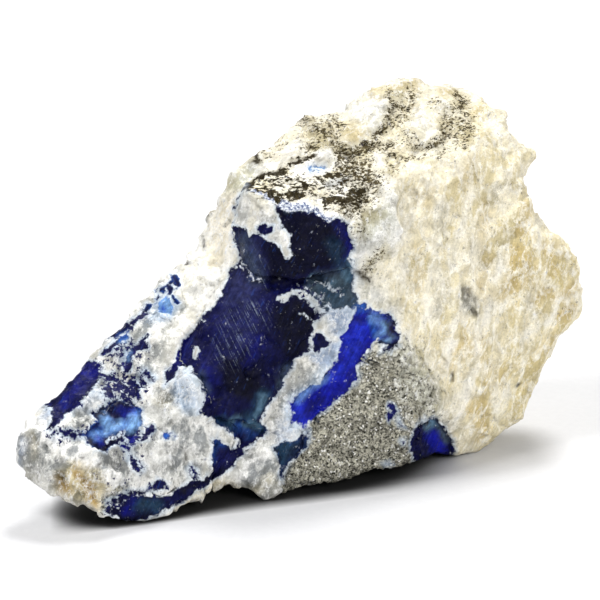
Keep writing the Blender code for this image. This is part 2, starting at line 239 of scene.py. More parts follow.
class Skin:
    """A piece's surface as arrays, in millimetres, while its shape and paint are worked out."""

    def __init__(self, obj):
        self.obj = obj
        self.mesh = obj.data
        self.read()

    def read(self):
        count = len(self.mesh.vertices)
        flat = np.empty(count * 3)
        self.mesh.vertices.foreach_get("co", flat)
        self.points = flat.reshape(-1, 3) / MM
        self.mesh.vertices.foreach_get("normal", flat)
        self.normals = flat.reshape(-1, 3).copy()
        self.sight = sight_of(self.points)
        self.view = view_of(self.sight)
        self.facing = -(self.normals @ (0.0, math.cos(SIGHT_DROP), -math.sin(SIGHT_DROP)))

    def write(self):
        self.mesh.vertices.foreach_set("co", (self.points * MM).ravel())
        self.mesh.update()
        self.read()

    def move(self, direction, amount):
        """Move the points by an amount along a direction each, less so just above the ground."""
        held = np.clip(self.points[:, 2] / GROUND_HOLD, 0.0, 1.0)
        self.points += direction * (amount * held)[:, None]
        self.points[:, 2] = np.maximum(self.points[:, 2], 0.0)
        self.write()

    def start_paint(self, piece):
        """Wavy view places for the strokes, and the coats and masks of the faces out of sight."""
        self.wavy = self.view + noise_vectors(self.sight, 1.9, 40, 3, 0.6, axes=2) * WAVE_STEPS
        self.front = eased(self.facing, *TURNED) * self.in_sight()
        behind = 1.0 - self.front
        count = len(self.points)
        self.tone = np.tile(linear(COLOURS["white"]), (count, 1))
        self.deep = np.tile(linear(COLOURS[piece.colour]), (count, 1))
        self.masks = {name: np.zeros(count) for name in MASKS}
        if piece.inside:
            self.masks[piece.inside] = behind

    def in_sight(self):
        """One for points in the display view or just behind its edge, zero where the piece hides them."""
        tree = BVHTree.FromObject(self.obj, bpy.context.evaluated_depsgraph_get())
        towards = Vector((0.0, -math.cos(SIGHT_DROP), math.sin(SIGHT_DROP)))
        starts = (self.points + self.normals * (0.3 * np.sign(self.facing))[:, None]) * MM
        seen = np.ones(len(self.points))
        for index in np.flatnonzero(self.facing > TURNED[0]):
            distance = tree.ray_cast(Vector(starts[index]), towards)[3]
            if distance is not None and distance > HIDDEN_BEHIND * MM:
                seen[index] = 0.0
        return seen

    def paint(self, strokes):
        """Lay the strokes down in turn."""
        for name, strength, softness, radius, *paths in strokes:
            for points in paths:
                cover = cover_of(self.wavy, softness, radius, points) * strength * self.front
                if name in MASKS:
                    self.masks[name] = np.maximum(self.masks[name], cover)
                    continue
                wide = cover
                if softness < SMOOTHEST:
                    wide = cover_of(self.wavy, SMOOTHEST, radius, points) * strength * self.front
                if name in CALCITE_COLOURS:
                    self.tone = self.mixed_in(self.tone, name, cover)
                    self.masks["blue"] = np.minimum(self.masks["blue"], 1.0 - wide)
                else:
                    self.deep = self.mixed_in(self.deep, name, cover)
                    self.masks["blue"] = np.maximum(self.masks["blue"], wide)

    def mixed_in(self, coat, name, cover):
        return coat + (linear(COLOURS[name]) - coat) * cover[:, None]

    def store(self):
        """Keep the coats and the masks on the mesh for its material."""
        for name, coat in (("tone", self.tone), ("deep", self.deep)):
            layer = self.mesh.attributes.new(name, "FLOAT_COLOR", "POINT")
            rgba = np.ones((len(self.points), 4))
            rgba[:, :3] = np.clip(coat, 0.0, 1.0)
            layer.data.foreach_set("color", rgba.ravel())
        for name in MASKS:
            layer = self.mesh.attributes.new(name, "FLOAT", "POINT")
            layer.data.foreach_set("value", self.masks[name])


def linear(colour):
    """The surface colour that looks like a screen colour of 0 to 255 under the scene's light."""
    part = np.array(colour, float) / 255.0
    return np.where(part <= 0.04045, part / 12.92, ((part + 0.055) / 1.055) ** 2.4) / LIGHT_LEVEL


def screen(*colour):
    """A screen colour as a material takes it."""
    return tuple(linear(colour))


# Screen colours, as they look in even light: first of the calcite and its soils, then of the blue crystals

CALCITE_COLOURS = {
    "snow": (254, 253, 249),
    "white": (246, 244, 236),
    "cream": (238, 230, 206),
    "straw": (228, 216, 178),
    "beige": (212, 194, 146),
    "sand": (226, 209, 158),
    "peach": (247, 238, 216),
    "pale_grey": (212, 212, 206),
    "grey": (160, 160, 156),
    "dim": (104, 104, 104),
    "green_grey": (196, 196, 178),
    "olive": (150, 138, 90),
    "brown": (100, 86, 58),
    "umber": (44, 37, 25),
    "amber": (176, 146, 84),
    "fawn": (204, 190, 150),
    "ice": (200, 216, 234),
    "fog": (150, 166, 190),
}
CRYSTAL_COLOURS = {
    "sky": (132, 176, 226),
    "azure": (50, 100, 190),
    "royal": (40, 56, 198),
    "cobalt": (22, 28, 158),
    "violet": (54, 58, 98),
    "indigo": (26, 28, 92),
    "navy": (15, 17, 62),
    "ink": (10, 11, 28),
    "aqua": (104, 140, 164),
    "teal": (38, 66, 92),
    "slate": (72, 88, 100),
}
COLOURS = {**CALCITE_COLOURS, **CRYSTAL_COLOURS}

# The picture that is painted on every face in sight, in order. Each entry is a name, strength, edge
# softness, stroke radius or 0 for outlines, and its paths. A calcite colour covers crystal with
# calcite, a crystal colour puts crystal there, and any other name raises a mask: "banded" long
# grains, "grainy" clear small grains, "web" grains with blue seams, "leaf" and "net" dark soil, partly
# painted shade on the weathered top, "grit" metallic grains, "dark" plain dark marks, "haze" a milky
# skin, and a painted sheen on the main crystal's left facet, "fleck" pale specks, "scratch" lines.
CREAM_FACE = [
    392, 172, 440, 160, 480, 134, 545, 136, 600, 230, 600, 330, 560, 400, 490, 470, 445, 460, 436, 420,
    432, 385, 412, 352, 395, 320, 362, 300, 356, 275, 385, 250, 400, 232,
]
STUB_SIDE_BLOCK = [
    354, 274, 350, 240, 352, 218, 366, 206, 386, 192, 396, 200, 399, 232, 388, 248, 366, 264,
]
PICTURE = [
    ("cream", 0.9, 26, 0, CREAM_FACE),
    ("banded", 1.0, 36, 0, CREAM_FACE),
    ("straw", 0.6, 50, 0, [512, 190, 600, 250, 600, 340, 530, 420, 500, 360, 488, 280]),
    ("cream", 0.6, 24, 0, [440, 80, 520, 90, 530, 150, 480, 130, 455, 100]),
    ("peach", 0.8, 22, 0, [206, 262, 208, 210, 236, 192, 234, 230, 222, 262]),
    ("peach", 0.5, 22, 18, [250, 150, 300, 128]),
    ("grainy", 1.0, 24, 0, [60, 400, 110, 336, 170, 270, 180, 300, 168, 360, 204, 410, 244, 444, 214, 446,
     200, 486, 150, 520, 60, 500, 10, 450], [262, 430, 270, 396, 320, 340, 330, 356, 290, 440, 286, 490,
     226, 490]),
    ("grainy", 0.6, 24, 0, [376, 350, 440, 360, 456, 420, 440, 460, 396, 460]),
    ("pale_grey", 0.7, 20, 0, [110, 410, 200, 404, 232, 440, 190, 480, 110, 480]),
    # clear bands and grains of the cream face
    ("beige", 0.6, 12, 5, [487, 206, 482, 242], [486, 254, 484, 292], [416, 250, 418, 288],
     [466, 322, 460, 352], [484, 332, 482, 356], [454, 360, 451, 378], [487, 366, 484, 400],
     [424, 190, 426, 206], [546, 348, 556, 340], [470, 162, 466, 186], [502, 372, 506, 388]),
    ("beige", 0.8, 12, 7, [512, 284, 516, 250], [530, 284, 526, 256], [480, 346, 466, 348],
     [474, 402, 472, 408], [482, 410, 480, 438], [552, 246, 556, 268], [502, 296, 514, 288],
     [518, 228, 530, 208]),
    ("beige", 0.95, 7, 5, [560, 298, 575, 288], [562, 316, 575, 308], [540, 302, 550, 292]),
    ("straw", 0.8, 14, 7, [462, 240, 468, 208], [526, 384, 536, 368], [516, 408, 528, 396],
     [520, 156, 532, 149], [456, 200, 462, 192], [404, 300, 422, 306], [436, 342, 446, 334],
     [440, 390, 452, 384], [560, 276, 566, 262], [432, 262, 442, 256]),
    ("olive", 0.6, 8, 3, [504, 184, 510, 182], [511, 222, 516, 214], [492, 204, 497, 198],
     [487, 136, 489, 130]),
    ("grey", 0.45, 12, 5, [437, 228, 444, 208], [492, 202, 498, 192], [500, 262, 504, 236],
     [440, 310, 444, 290], [396, 204, 397, 192], [484, 262, 476, 244], [372, 292, 380, 300],
     [532, 300, 536, 312], [452, 420, 462, 432], [436, 404, 450, 398]),
    ("grey", 0.9, 5, 0, [461, 292, 468, 289, 474, 294, 480, 306, 480, 315, 472, 316, 462, 308]),
    ("snow", 0.7, 9, 2.4, [395, 330, 420, 370, 436, 420], [446, 380, 453, 320, 456, 250, 474, 190],
     [480, 330, 494, 306, 510, 300], [424, 330, 432, 262, 440, 240], [520, 340, 548, 322, 558, 306],
     [402, 300, 410, 236], [476, 370, 480, 320], [548, 284, 572, 300], [498, 430, 512, 380],
     [496, 280, 500, 266], [538, 250, 542, 214], [458, 420, 470, 380]),
    # the greenish block beside the crystal, and the crevice below it
    ("pale_grey", 0.95, 8, 0, STUB_SIDE_BLOCK),
    ("green_grey", 0.9, 14, 9, [366, 226, 380, 212]),
    ("olive", 0.5, 12, 8, [354, 216, 372, 212]),
    ("grey", 0.5, 10, 4, [356, 240, 354, 250], [368, 250, 380, 240]),
    ("snow", 0.9, 6, 3.4, [355, 272, 366, 262, 388, 247, 398, 232], [354, 256, 366, 254]),
    # grey along the crevice below the block: painted shade
    ("grey", 0.8, 8, 4, [358, 276, 372, 264, 390, 250]),
    ("pale_grey", 0.8, 14, 10, [366, 288, 380, 300, 392, 310]),
    # the weathered top, whose dark soil and olive are partly painted shade in the grooves between its lumps
    # and on its upper parts
    ("straw", 0.4, 24, 0, [300, 116, 350, 96, 395, 72, 480, 84, 510, 112, 526, 150, 440, 158, 392, 172,
     340, 160]),
    ("pale_grey", 0.6, 20, 0, [350, 96, 388, 98, 388, 120, 376, 134, 350, 122, 340, 108],
     [404, 112, 440, 112, 442, 134, 420, 142, 396, 138]),
    ("fawn", 1.0, 12, 9, [350, 130, 358, 132]),
    ("fawn", 1.0, 9, 5, [372, 90, 392, 86, 414, 81], [444, 90, 454, 88], [476, 112, 486, 100]),
    ("straw", 0.7, 12, 7, [478, 118, 490, 104]),
    ("olive", 0.7, 8, 5, [311, 142, 326, 146], [356, 153, 368, 151], [388, 168, 393, 164],
     [394, 95, 400, 92], [458, 124, 468, 134]),
    ("olive", 0.6, 14, 9, [316, 132, 332, 138]),
    ("straw", 0.6, 20, 9, [372, 150, 390, 160], [430, 110, 440, 128], [400, 120, 404, 136]),
    ("leaf", 0.6, 14, 8, [318, 128, 334, 136]),
    ("brown", 0.5, 8, 4, [330, 126, 334, 146, 352, 152], [446, 118, 450, 134], [460, 92, 466, 102]),
    ("grey", 0.5, 9, 4, [350, 148, 372, 144, 386, 150], [442, 138, 428, 148], [338, 144, 354, 144],
     [388, 106, 388, 122, 378, 132], [450, 108, 440, 106]),
    ("leaf", 0.72, 10, 4, [388, 90, 392, 106, 390, 118, 378, 133], [408, 87, 414, 94, 410, 104, 396, 106],
     [458, 91, 465, 97, 465, 104], [447, 116, 448, 134, 440, 141, 430, 147], [462, 109, 468, 112],
     [332, 116, 344, 124], [326, 122, 334, 130, 334, 146], [372, 135, 382, 146, 392, 146]),
    ("leaf", 0.55, 14, 7, [394, 122, 406, 114], [456, 130, 470, 126], [454, 118, 462, 120], [408, 98],
     [464, 142, 470, 132], [306, 146, 330, 138]),
    ("leaf", 0.62, 9, 3, [404, 142, 414, 146, 426, 148], [384, 150, 398, 156, 416, 158, 424, 156],
     [434, 102, 440, 100], [450, 106, 462, 105], [440, 154, 450, 150], [470, 116, 476, 118]),
    ("leaf", 0.68, 10, 6, [338, 150, 356, 150, 370, 146], [342, 156, 360, 164, 366, 170]),
    ("leaf", 0.35, 12, 8, [300, 136, 320, 126], [390, 164, 396, 168], [260, 156, 284, 142],
     [300, 121, 316, 116], [404, 132, 412, 138]),
    # dark soil on the greenish block, and along the crevice below it painted shade
    ("leaf", 0.45, 14, 8, [362, 216, 358, 230], [380, 252, 366, 268]),
    ("olive", 0.4, 8, 4, [498, 190, 494, 198], [514, 220, 510, 226], [447, 225]),
    # the left shoulder
    ("green_grey", 0.9, 8, 0, [224, 192, 229, 180, 246, 165, 260, 160, 252, 178, 240, 192]),
    ("olive", 0.4, 10, 4, [228, 186, 244, 170]),
    ("grey", 0.5, 8, 4, [252, 168, 258, 162], [183, 302, 188, 308], [206, 200, 208, 212],
     [192, 290, 196, 288]),
    # around the small crystals of the left end
    ("pale_grey", 0.7, 16, 0, [84, 372, 134, 326, 160, 322, 152, 350, 150, 400, 196, 440, 190, 470,
     120, 480, 60, 440]),
    ("grey", 0.75, 8, 7, [112, 352, 122, 356], [140, 356, 146, 354], [128, 386, 108, 382], [132, 392],
     [160, 400, 168, 396], [118, 462, 132, 456], [190, 460, 196, 466], [120, 466]),
    ("dim", 0.5, 6, 3.4, [146, 356], [110, 358], [132, 360, 138, 364], [118, 388]),
    ("fog", 0.8, 9, 6, [108, 348, 124, 346], [128, 352, 124, 362], [44, 420, 54, 402]),
    ("ice", 0.85, 10, 8, [176, 306, 172, 318], [152, 320, 164, 318], [148, 376, 146, 384]),
    ("white", 0.9, 8, 7, [150, 338, 188, 320], [154, 360, 160, 344], [150, 396, 152, 386]),
    ("ice", 0.9, 7, 0, [170, 384, 174, 374, 181, 368, 190, 369, 197, 376, 202, 386, 203, 404, 198, 411,
     186, 414, 172, 402]),
    ("pale_grey", 0.8, 8, 5, [180, 376, 186, 384], [196, 392, 198, 402]),
    ("fog", 0.45, 10, 6, [182, 382, 194, 400]),
    ("sky", 0.35, 8, 4, [184, 406, 196, 409]),
    ("olive", 0.4, 9, 6, [160, 400, 168, 402]),
    ("pale_grey", 0.7, 10, 9, [152, 416, 168, 422], [184, 452, 196, 470]),
    ("fog", 0.6, 9, 5, [58, 436, 76, 434], [96, 398, 88, 410]),
    ("web", 0.9, 14, 0, [100, 372, 142, 372, 150, 380, 142, 400, 120, 404, 102, 398],
     [52, 430, 92, 424, 92, 438, 62, 441], [104, 500, 126, 492, 156, 492, 164, 502, 150, 518, 110, 514]),
    ("web", 0.65, 14, 0, [96, 366, 108, 344, 136, 330, 150, 348, 146, 370, 120, 366], [104, 436, 128, 430,
     150, 424, 156, 436, 138, 450, 110, 446], [128, 454, 146, 454, 142, 472, 130, 470],
     [190, 466, 200, 466, 200, 480, 190, 478], [180, 500, 196, 486, 204, 470, 190, 484, 150, 498]),
    ("web", 0.4, 18, 0, [100, 470, 140, 480, 168, 480, 150, 492, 110, 488], [92, 440, 150, 440, 120, 460]),
    # the nose: grey, then a white band, then iron-stained
    ("grey", 0.5, 14, 0, [16, 450, 24, 424, 42, 430, 56, 452, 54, 486, 36, 488]),
    ("fog", 0.7, 8, 4, [22, 440, 21, 464]),
    ("dim", 0.45, 6, 2, [26, 430, 24, 444], [28, 470, 32, 480]),
    ("fawn", 0.6, 8, 3, [35, 436, 38, 456]),
    ("pale_grey", 0.8, 12, 7, [46, 446, 50, 470]),
    ("snow", 0.9, 12, 6, [40, 426, 64, 444, 96, 462, 116, 478], [30, 424, 44, 430]),
    ("fawn", 0.9, 12, 0, [58, 470, 72, 462, 92, 462, 104, 474, 108, 488, 98, 510, 76, 500, 58, 488]),
    ("amber", 1.0, 8, 5, [80, 472, 88, 484, 92, 500], [60, 478, 66, 488]),
    ("straw", 0.8, 7, 3, [76, 480, 74, 468], [98, 474, 104, 484]),
    ("snow", 0.6, 14, 0, [112, 478, 150, 452, 164, 430, 200, 416, 222, 430, 212, 444, 206, 462, 184, 450,
     168, 474, 140, 484]),
    ("grey", 0.7, 8, 5, [150, 472, 172, 462], [186, 446, 196, 452], [124, 468, 130, 474],
     [168, 444, 176, 448], [110, 456, 124, 452]),
    ("dark", 0.9, 3, 1.4, [186, 454, 186, 457], [196, 464], [177, 442], [141, 470], [174, 484], [84, 455],
     [70, 503, 72, 505], [82, 507, 90, 509], [104, 464], [162, 451]),
    # calcite beside and below the bright crystal
    ("grey", 0.5, 8, 5, [272, 404, 276, 396], [290, 364, 286, 376], [266, 442, 270, 436], [268, 420]),
    ("dim", 0.5, 4, 1, [298, 366, 304, 376, 308, 382]),
    ("ice", 0.9, 8, 5, [294, 398, 312, 382, 328, 364], [288, 410, 292, 426, 304, 432]),
    ("fog", 0.7, 8, 5, [280, 424, 288, 432], [284, 442, 276, 436]),
    ("pale_grey", 0.8, 10, 0, [222, 476, 234, 464, 252, 448, 262, 438, 274, 446, 282, 470, 276, 492,
     268, 500, 240, 488]),
    ("snow", 0.9, 10, 6, [250, 476, 252, 462, 264, 456], [240, 478]),
    ("straw", 0.6, 9, 5, [256, 488, 272, 478]),
    ("grey", 0.8, 8, 4, [264, 440, 270, 438], [266, 484, 270, 492], [256, 456, 252, 458]),
    ("straw", 0.7, 8, 3, [180, 508, 206, 490, 224, 484, 240, 488]),
    # the transition to the grain mass
    ("green_grey", 0.8, 20, 0, [376, 346, 400, 340, 420, 350, 436, 390, 440, 416, 424, 420, 400, 400]),
    ("olive", 0.6, 8, 5, [386, 379, 392, 376], [412, 404, 420, 420], [384, 360]),
    ("grit", 1.0, 10, 0, [313, 418, 336, 400, 354, 384, 366, 358, 380, 352, 388, 380, 404, 404, 412, 430,
     416, 470, 340, 500, 280, 500, 284, 484, 296, 452, 306, 430]),
    ("grit", 0.5, 20, 0, [376, 344, 400, 350, 420, 380, 430, 420, 430, 460, 380, 460, 370, 380]),
    ("grit", 0.35, 24, 0, [384, 340, 416, 346, 440, 390, 450, 430, 440, 460, 400, 440]),
    ("grit", 0.6, 12, 8, [106, 502, 120, 494]),
    ("fog", 0.6, 8, 4, [280, 478, 286, 490], [402, 418, 403, 428], [402, 440, 404, 446]),
    # the main crystal
    ("navy", 1.0, 3, 0, [240, 194, 236, 206, 233, 222, 234, 232, 238, 257, 236, 262, 229, 278, 217, 300,
     210, 313, 201, 320, 191, 334, 183, 341, 179, 354, 170, 369, 167, 368, 163, 377, 164, 388, 173, 376,
     181, 367, 190, 368, 203, 384, 204, 398, 203, 407, 198, 412, 212, 417, 230, 429, 242, 441, 242, 447,
     232, 446, 214, 440, 213, 460, 208, 474, 203, 480, 190, 481, 180, 490, 163, 499, 152, 498, 140, 496,
     130, 492, 124, 500, 120, 508, 104, 509, 112, 516, 135, 519, 160, 511, 190, 497, 222, 476, 233, 465,
     250, 450, 256, 442, 264, 434, 262, 412, 270, 400, 284, 384, 286, 370, 300, 354, 313, 349, 307, 340,
     312, 330, 308, 320, 299, 314, 316, 316, 328, 316, 356, 302, 355, 286, 353, 270, 350, 262, 350, 230,
     346, 224, 332, 219, 312, 214, 276, 206, 262, 199], [314, 350, 313, 340, 318, 332, 324, 336, 330, 342,
     328, 348, 322, 351]),
    ("indigo", 0.45, 16, 0, [232, 272, 270, 296, 262, 330, 236, 372, 206, 384, 190, 360, 200, 330]),
    # violet on the main crystal's left facets: partly its own tone, partly painted sheen where they face the
    # lamps
    ("violet", 0.55, 12, 0, [232, 268, 258, 288, 250, 300, 222, 302],
     [238, 240, 262, 240, 264, 288, 246, 270]),
    ("violet", 0.25, 16, 0, [226, 300, 262, 300, 264, 330, 232, 360, 214, 350]),
    # ink on the main crystal's right-hand facets: partly its own dark tone, partly painted shade where they
    # turn from the lamps
    ("ink", 0.85, 8, 0, [282, 302, 300, 298, 314, 308, 324, 318, 310, 322, 312, 330, 306, 342, 310, 349,
     290, 362, 274, 340, 274, 316], [222, 358, 262, 350, 268, 392, 250, 400, 222, 388]),
    ("navy", 0.8, 12, 0, [262, 334, 280, 330, 286, 368, 268, 390, 256, 370]),
    ("cobalt", 0.3, 10, 4, [186, 340, 176, 362], [206, 372, 208, 392], [248, 362, 262, 340]),
    ("slate", 0.6, 7, 4, [202, 378, 206, 388], [288, 366, 278, 384]),
    ("teal", 0.9, 9, 5, [264, 394, 256, 408, 250, 424], [220, 420, 232, 428], [246, 416, 258, 428]),
    ("aqua", 0.7, 6, 2.4, [262, 398, 255, 414], [233, 420, 236, 417], [246, 424, 258, 424]),
    ("azure", 0.5, 7, 3, [240, 424, 250, 436], [214, 452, 212, 460], [216, 442, 224, 446]),
    ("indigo", 0.7, 8, 5, [226, 452, 216, 472]),
    ("cobalt", 0.6, 8, 4, [128, 508, 138, 498]),
    ("teal", 0.9, 8, 5, [142, 504, 156, 506]),
    ("ink", 0.7, 5, 3, [112, 510, 124, 516, 150, 514], [184, 490, 204, 482, 222, 470]),
    # the stub of the main crystal
    ("ink", 0.85, 7, 0, [276, 208, 312, 216, 340, 226, 340, 262, 318, 270, 272, 284, 266, 262, 266, 240,
     280, 240]),
    # slate on the stub's left face: partly painted light where it faces the lamps
    ("slate", 0.4, 12, 7, [244, 242, 256, 276]),
    ("indigo", 0.7, 7, 5, [340, 226, 346, 238]),
    ("cobalt", 0.35, 5, 2, [348, 232, 348, 256]),
    ("teal", 0.5, 10, 6, [332, 244, 340, 262]),
    ("slate", 0.95, 10, 0, [306, 284, 318, 274, 352, 268, 356, 288, 356, 302, 342, 306, 328, 314, 318, 302,
     308, 294]),
    ("teal", 0.7, 9, 5, [348, 270, 354, 282], [336, 304, 352, 306], [322, 290, 340, 292]),
    ("aqua", 0.6, 6, 2.4, [344, 272, 350, 280], [352, 262, 354, 272], [312, 278, 334, 280]),
    ("grey", 0.8, 6, 0, [271, 304, 276, 296, 288, 290, 300, 289, 310, 294, 322, 306, 328, 315, 318, 312,
     304, 300, 292, 296, 282, 302]),
    ("pale_grey", 0.9, 4, 3, [276, 300, 290, 292], [300, 292, 312, 300]),
    ("grey", 0.75, 6, 2.6, [298, 284, 316, 296, 330, 308], [312, 279, 332, 288, 340, 296]),
    ("fog", 0.6, 5, 2, [326, 280, 342, 290], [318, 300, 334, 312]),
    ("web", 0.8, 12, 10, [304, 288, 340, 298]),
    ("pale_grey", 0.9, 5, 0, [297, 314, 304, 314, 310, 320, 322, 319, 328, 316, 344, 309, 346, 320,
     336, 334, 324, 336, 312, 324]),
    ("fog", 0.95, 9, 7, [334, 318, 348, 314, 338, 332]),
    ("slate", 0.7, 8, 4, [340, 308, 352, 306]),
    ("snow", 1.0, 4, 2.6, [322, 332, 325, 329]),
    ("pale_grey", 1.0, 3, 0, [306, 339, 310, 336, 313, 339, 313, 346, 310, 348, 307, 345]),
    ("fog", 0.95, 7, 0, [304, 352, 316, 352, 330, 344, 340, 344, 338, 358, 330, 366, 316, 366]),
    ("grey", 0.6, 6, 3, [304, 354, 314, 364], [320, 326, 316, 322]),
    ("grey", 0.45, 8, 4, [308, 286, 318, 284], [330, 300, 320, 294]),
    # calcite on the stub and the blade
    ("pale_grey", 1.0, 3, 0, [244, 191, 252, 189, 262, 196, 272, 202, 277, 211, 279, 220, 283, 228,
     289, 231, 291, 238, 293, 246, 291, 249, 295, 255, 291, 260, 285, 257, 280, 251, 279, 246, 273, 241,
     267, 240, 263, 237, 256, 235, 250, 239, 248, 228, 244, 230, 239, 226, 234, 223, 235, 212, 239, 200],
     [190, 353, 192, 346, 197, 347, 198, 355, 195, 361, 191, 358],
     [238, 256, 242, 257, 246, 265, 241, 266]),
    ("grey", 0.3, 14, 12, [250, 208, 266, 222]),
    ("grey", 0.6, 8, 3, [254, 207, 264, 208], [242, 216, 243, 206], [262, 216, 270, 220]),
    ("white", 0.9, 6, 4, [250, 200, 256, 214, 250, 230], [284, 234, 286, 244], [264, 204, 270, 212]),
    ("navy", 1.0, 3, 0, [258, 227, 263, 223, 268, 226, 274, 225, 274, 229, 270, 233, 268, 237, 262, 236]),
    ("ink", 0.8, 3, 1.4, [246, 188, 240, 199, 236, 213]),
    # haze on the main crystal's left facet: painted sheen
    ("haze", 0.6, 6, 3, [240, 268, 252, 278, 264, 286]),
    ("ink", 0.7, 3, 1.2, [262, 291, 272, 289, 286, 285, 297, 281, 306, 276], [240, 272, 248, 276],
     [250, 280, 262, 282]),
    ("fleck", 0.9, 24, 0, [280, 216, 350, 228, 352, 262, 300, 276, 268, 270]),
    ("fleck", 0.45, 30, 0, [236, 270, 318, 300, 280, 380, 200, 400, 176, 370]),
    ("fleck", 1.0, 8, 5, [273, 313, 280, 320], [240, 274, 260, 286], [252, 346]),
    ("fleck", 1.0, 14, 10, [116, 508, 140, 508], [120, 432, 136, 438], [80, 404]),
    ("scratch", 1.0, 14, 0, [234, 300, 268, 304, 266, 330, 250, 350, 232, 372, 214, 366, 218, 330]),
    ("scratch", 0.8, 10, 8, [246, 250, 262, 280]),
    # its weathered top
    ("white", 1.0, 4, 0, [248, 188, 252, 182, 264, 175, 290, 161, 306, 158, 330, 160, 350, 166, 384, 178,
     386, 206, 366, 214, 350, 222, 332, 218, 316, 213, 300, 205, 284, 204, 268, 199, 258, 192]),
    ("sand", 0.5, 8, 4, [256, 186, 272, 186], [280, 172, 290, 172], [306, 186, 320, 196],
     [330, 172, 340, 176]),
    ("net", 0.5, 12, 12, [262, 190, 300, 186, 340, 184]),
    ("net", 1.0, 5, 3, [248, 186, 262, 178, 276, 171, 292, 162, 312, 158]),
    ("net", 0.85, 8, 5, [270, 174, 284, 174], [268, 194, 282, 202], [302, 182, 302, 190],
     [290, 198, 302, 196], [326, 178, 338, 177]),
    ("net", 0.8, 9, 6, [324, 204, 354, 202], [350, 198, 362, 192]),
    ("leaf", 0.7, 18, 10, [348, 172, 376, 184], [346, 210, 366, 200], [342, 166, 362, 166]),
    ("fog", 0.7, 6, 4, [326, 186, 346, 182]),
    ("sky", 0.6, 6, 4, [310, 169, 323, 168]),
    ("dark", 0.9, 3, 1.6, [246, 189, 254, 181, 266, 174, 294, 160, 308, 157, 320, 160]),
    ("net", 0.6, 9, 5, [332, 206, 346, 200, 362, 204], [270, 184, 286, 180], [310, 196, 322, 202]),
    ("haze", 1.0, 4, 2.4, [277, 206, 290, 207, 304, 209, 318, 215, 332, 219]),
    ("haze", 0.8, 5, 2.4, [252, 190, 262, 194, 272, 201]),
    ("slate", 0.7, 5, 2, [286, 209, 302, 209]),
    ("snow", 0.8, 8, 3, [374, 158, 384, 178, 390, 196], [328, 154, 346, 160]),
    # the bright crystal
    ("cobalt", 1.0, 3, 0, [292, 403, 298, 395, 310, 386, 320, 380, 334, 360, 338, 350, 338, 338, 342, 332,
     348, 328, 352, 320, 354, 310, 362, 306, 370, 310, 380, 313, 388, 317, 392, 317, 396, 326, 397, 337,
     394, 345, 389, 349, 384, 345, 381, 339, 375, 341, 371, 347, 363, 360, 357, 373, 352, 384, 345, 394,
     337, 401, 328, 408, 316, 416, 309, 420, 305, 426, 298, 427, 293, 420]),
    ("royal", 0.7, 10, 5, [344, 336, 346, 350], [360, 324, 358, 342, 352, 360], [330, 378, 340, 368],
     [296, 404, 298, 420]),
    ("indigo", 0.6, 7, 4, [352, 322, 366, 312], [366, 350, 352, 380, 336, 398], [306, 414, 322, 400]),
    # azure and sky on the bright crystal: partly painted glints where it catches the light
    ("azure", 0.8, 7, 4, [370, 320, 376, 334], [356, 308, 364, 304]),
    ("sky", 0.6, 7, 3, [370, 316, 382, 322], [384, 326, 380, 336], [298, 398, 312, 387, 324, 378]),
    ("slate", 0.9, 6, 4, [388, 324, 391, 336, 388, 343]),
    ("sky", 0.7, 4, 2, [384, 342, 388, 340], [384, 324, 384, 332]),
    ("ink", 0.95, 3, 1.8, [389, 316, 395, 324, 396, 338, 391, 348, 385, 346]),
    ("fleck", 0.35, 18, 0, [290, 424, 290, 404, 336, 344, 392, 318, 394, 345, 340, 400, 304, 426]),
    ("teal", 0.95, 5, 0, [273, 447, 280, 443, 292, 442, 300, 438, 308, 436, 307, 446, 299, 450, 296, 457,
     289, 464, 286, 474, 280, 480, 283, 468, 279, 460, 275, 454]),
    ("ink", 0.7, 5, 2.4, [274, 448, 280, 458], [288, 456, 294, 448, 304, 442]),
    ("navy", 0.7, 6, 3, [307, 430, 302, 444, 294, 456], [290, 462, 284, 476]),
    ("indigo", 0.85, 6, 4, [391, 406, 396, 412, 390, 418]),
    ("indigo", 0.6, 6, 2.4, [402, 420, 404, 428], [402, 441, 404, 445], [384, 466, 392, 464]),
    # the foot crystal
    ("navy", 1.0, 3, 0, [412, 440, 415, 431, 421, 427, 428, 420, 434, 418, 441, 421, 446, 430, 451, 444,
     454, 454, 446, 462, 414, 462]),
    ("cobalt", 0.95, 8, 6, [434, 438, 440, 452]),
    ("aqua", 0.7, 6, 4, [429, 428, 434, 424]),
    ("slate", 0.7, 5, 3, [440, 428, 446, 442], [426, 424]),
    ("ink", 0.9, 3, 1.5, [416, 432, 428, 421, 436, 418, 444, 426, 451, 444, 453, 454],
     [414, 452, 422, 456]),
    ("fleck", 1.0, 9, 6, [420, 438, 422, 450]),
    # the crystals of the left end
    ("navy", 1.0, 4, 0, [68, 374, 75, 367, 84, 362, 94, 361, 102, 364, 104, 374, 98, 381, 92, 396, 84, 400,
     82, 406, 76, 410, 60, 420, 57, 427, 50, 431, 51, 424, 55, 416, 52, 407, 47, 402, 50, 393, 57, 386],
     [92, 415, 102, 412, 112, 408, 118, 403, 127, 402, 136, 405, 141, 411, 142, 420, 138, 430, 134, 436,
     134, 445, 126, 448, 118, 444, 110, 450, 96, 450, 88, 444, 84, 435, 90, 427, 96, 421], [124, 369,
     127, 362, 132, 363, 134, 369, 132, 373, 126, 373], [136, 347, 139, 343, 143, 342, 148, 345, 149, 349,
     145, 351, 139, 351], [138, 342, 143, 338, 149, 335, 150, 339, 145, 341],
     [108, 374, 114, 373, 118, 377, 112, 381], [146, 426, 152, 424, 157, 430, 151, 436, 144, 442, 138, 444,
     144, 434], [134, 462, 139, 461, 140, 467, 135, 469], [158, 476, 162, 477, 166, 484, 167, 489, 160, 489,
     157, 484]),
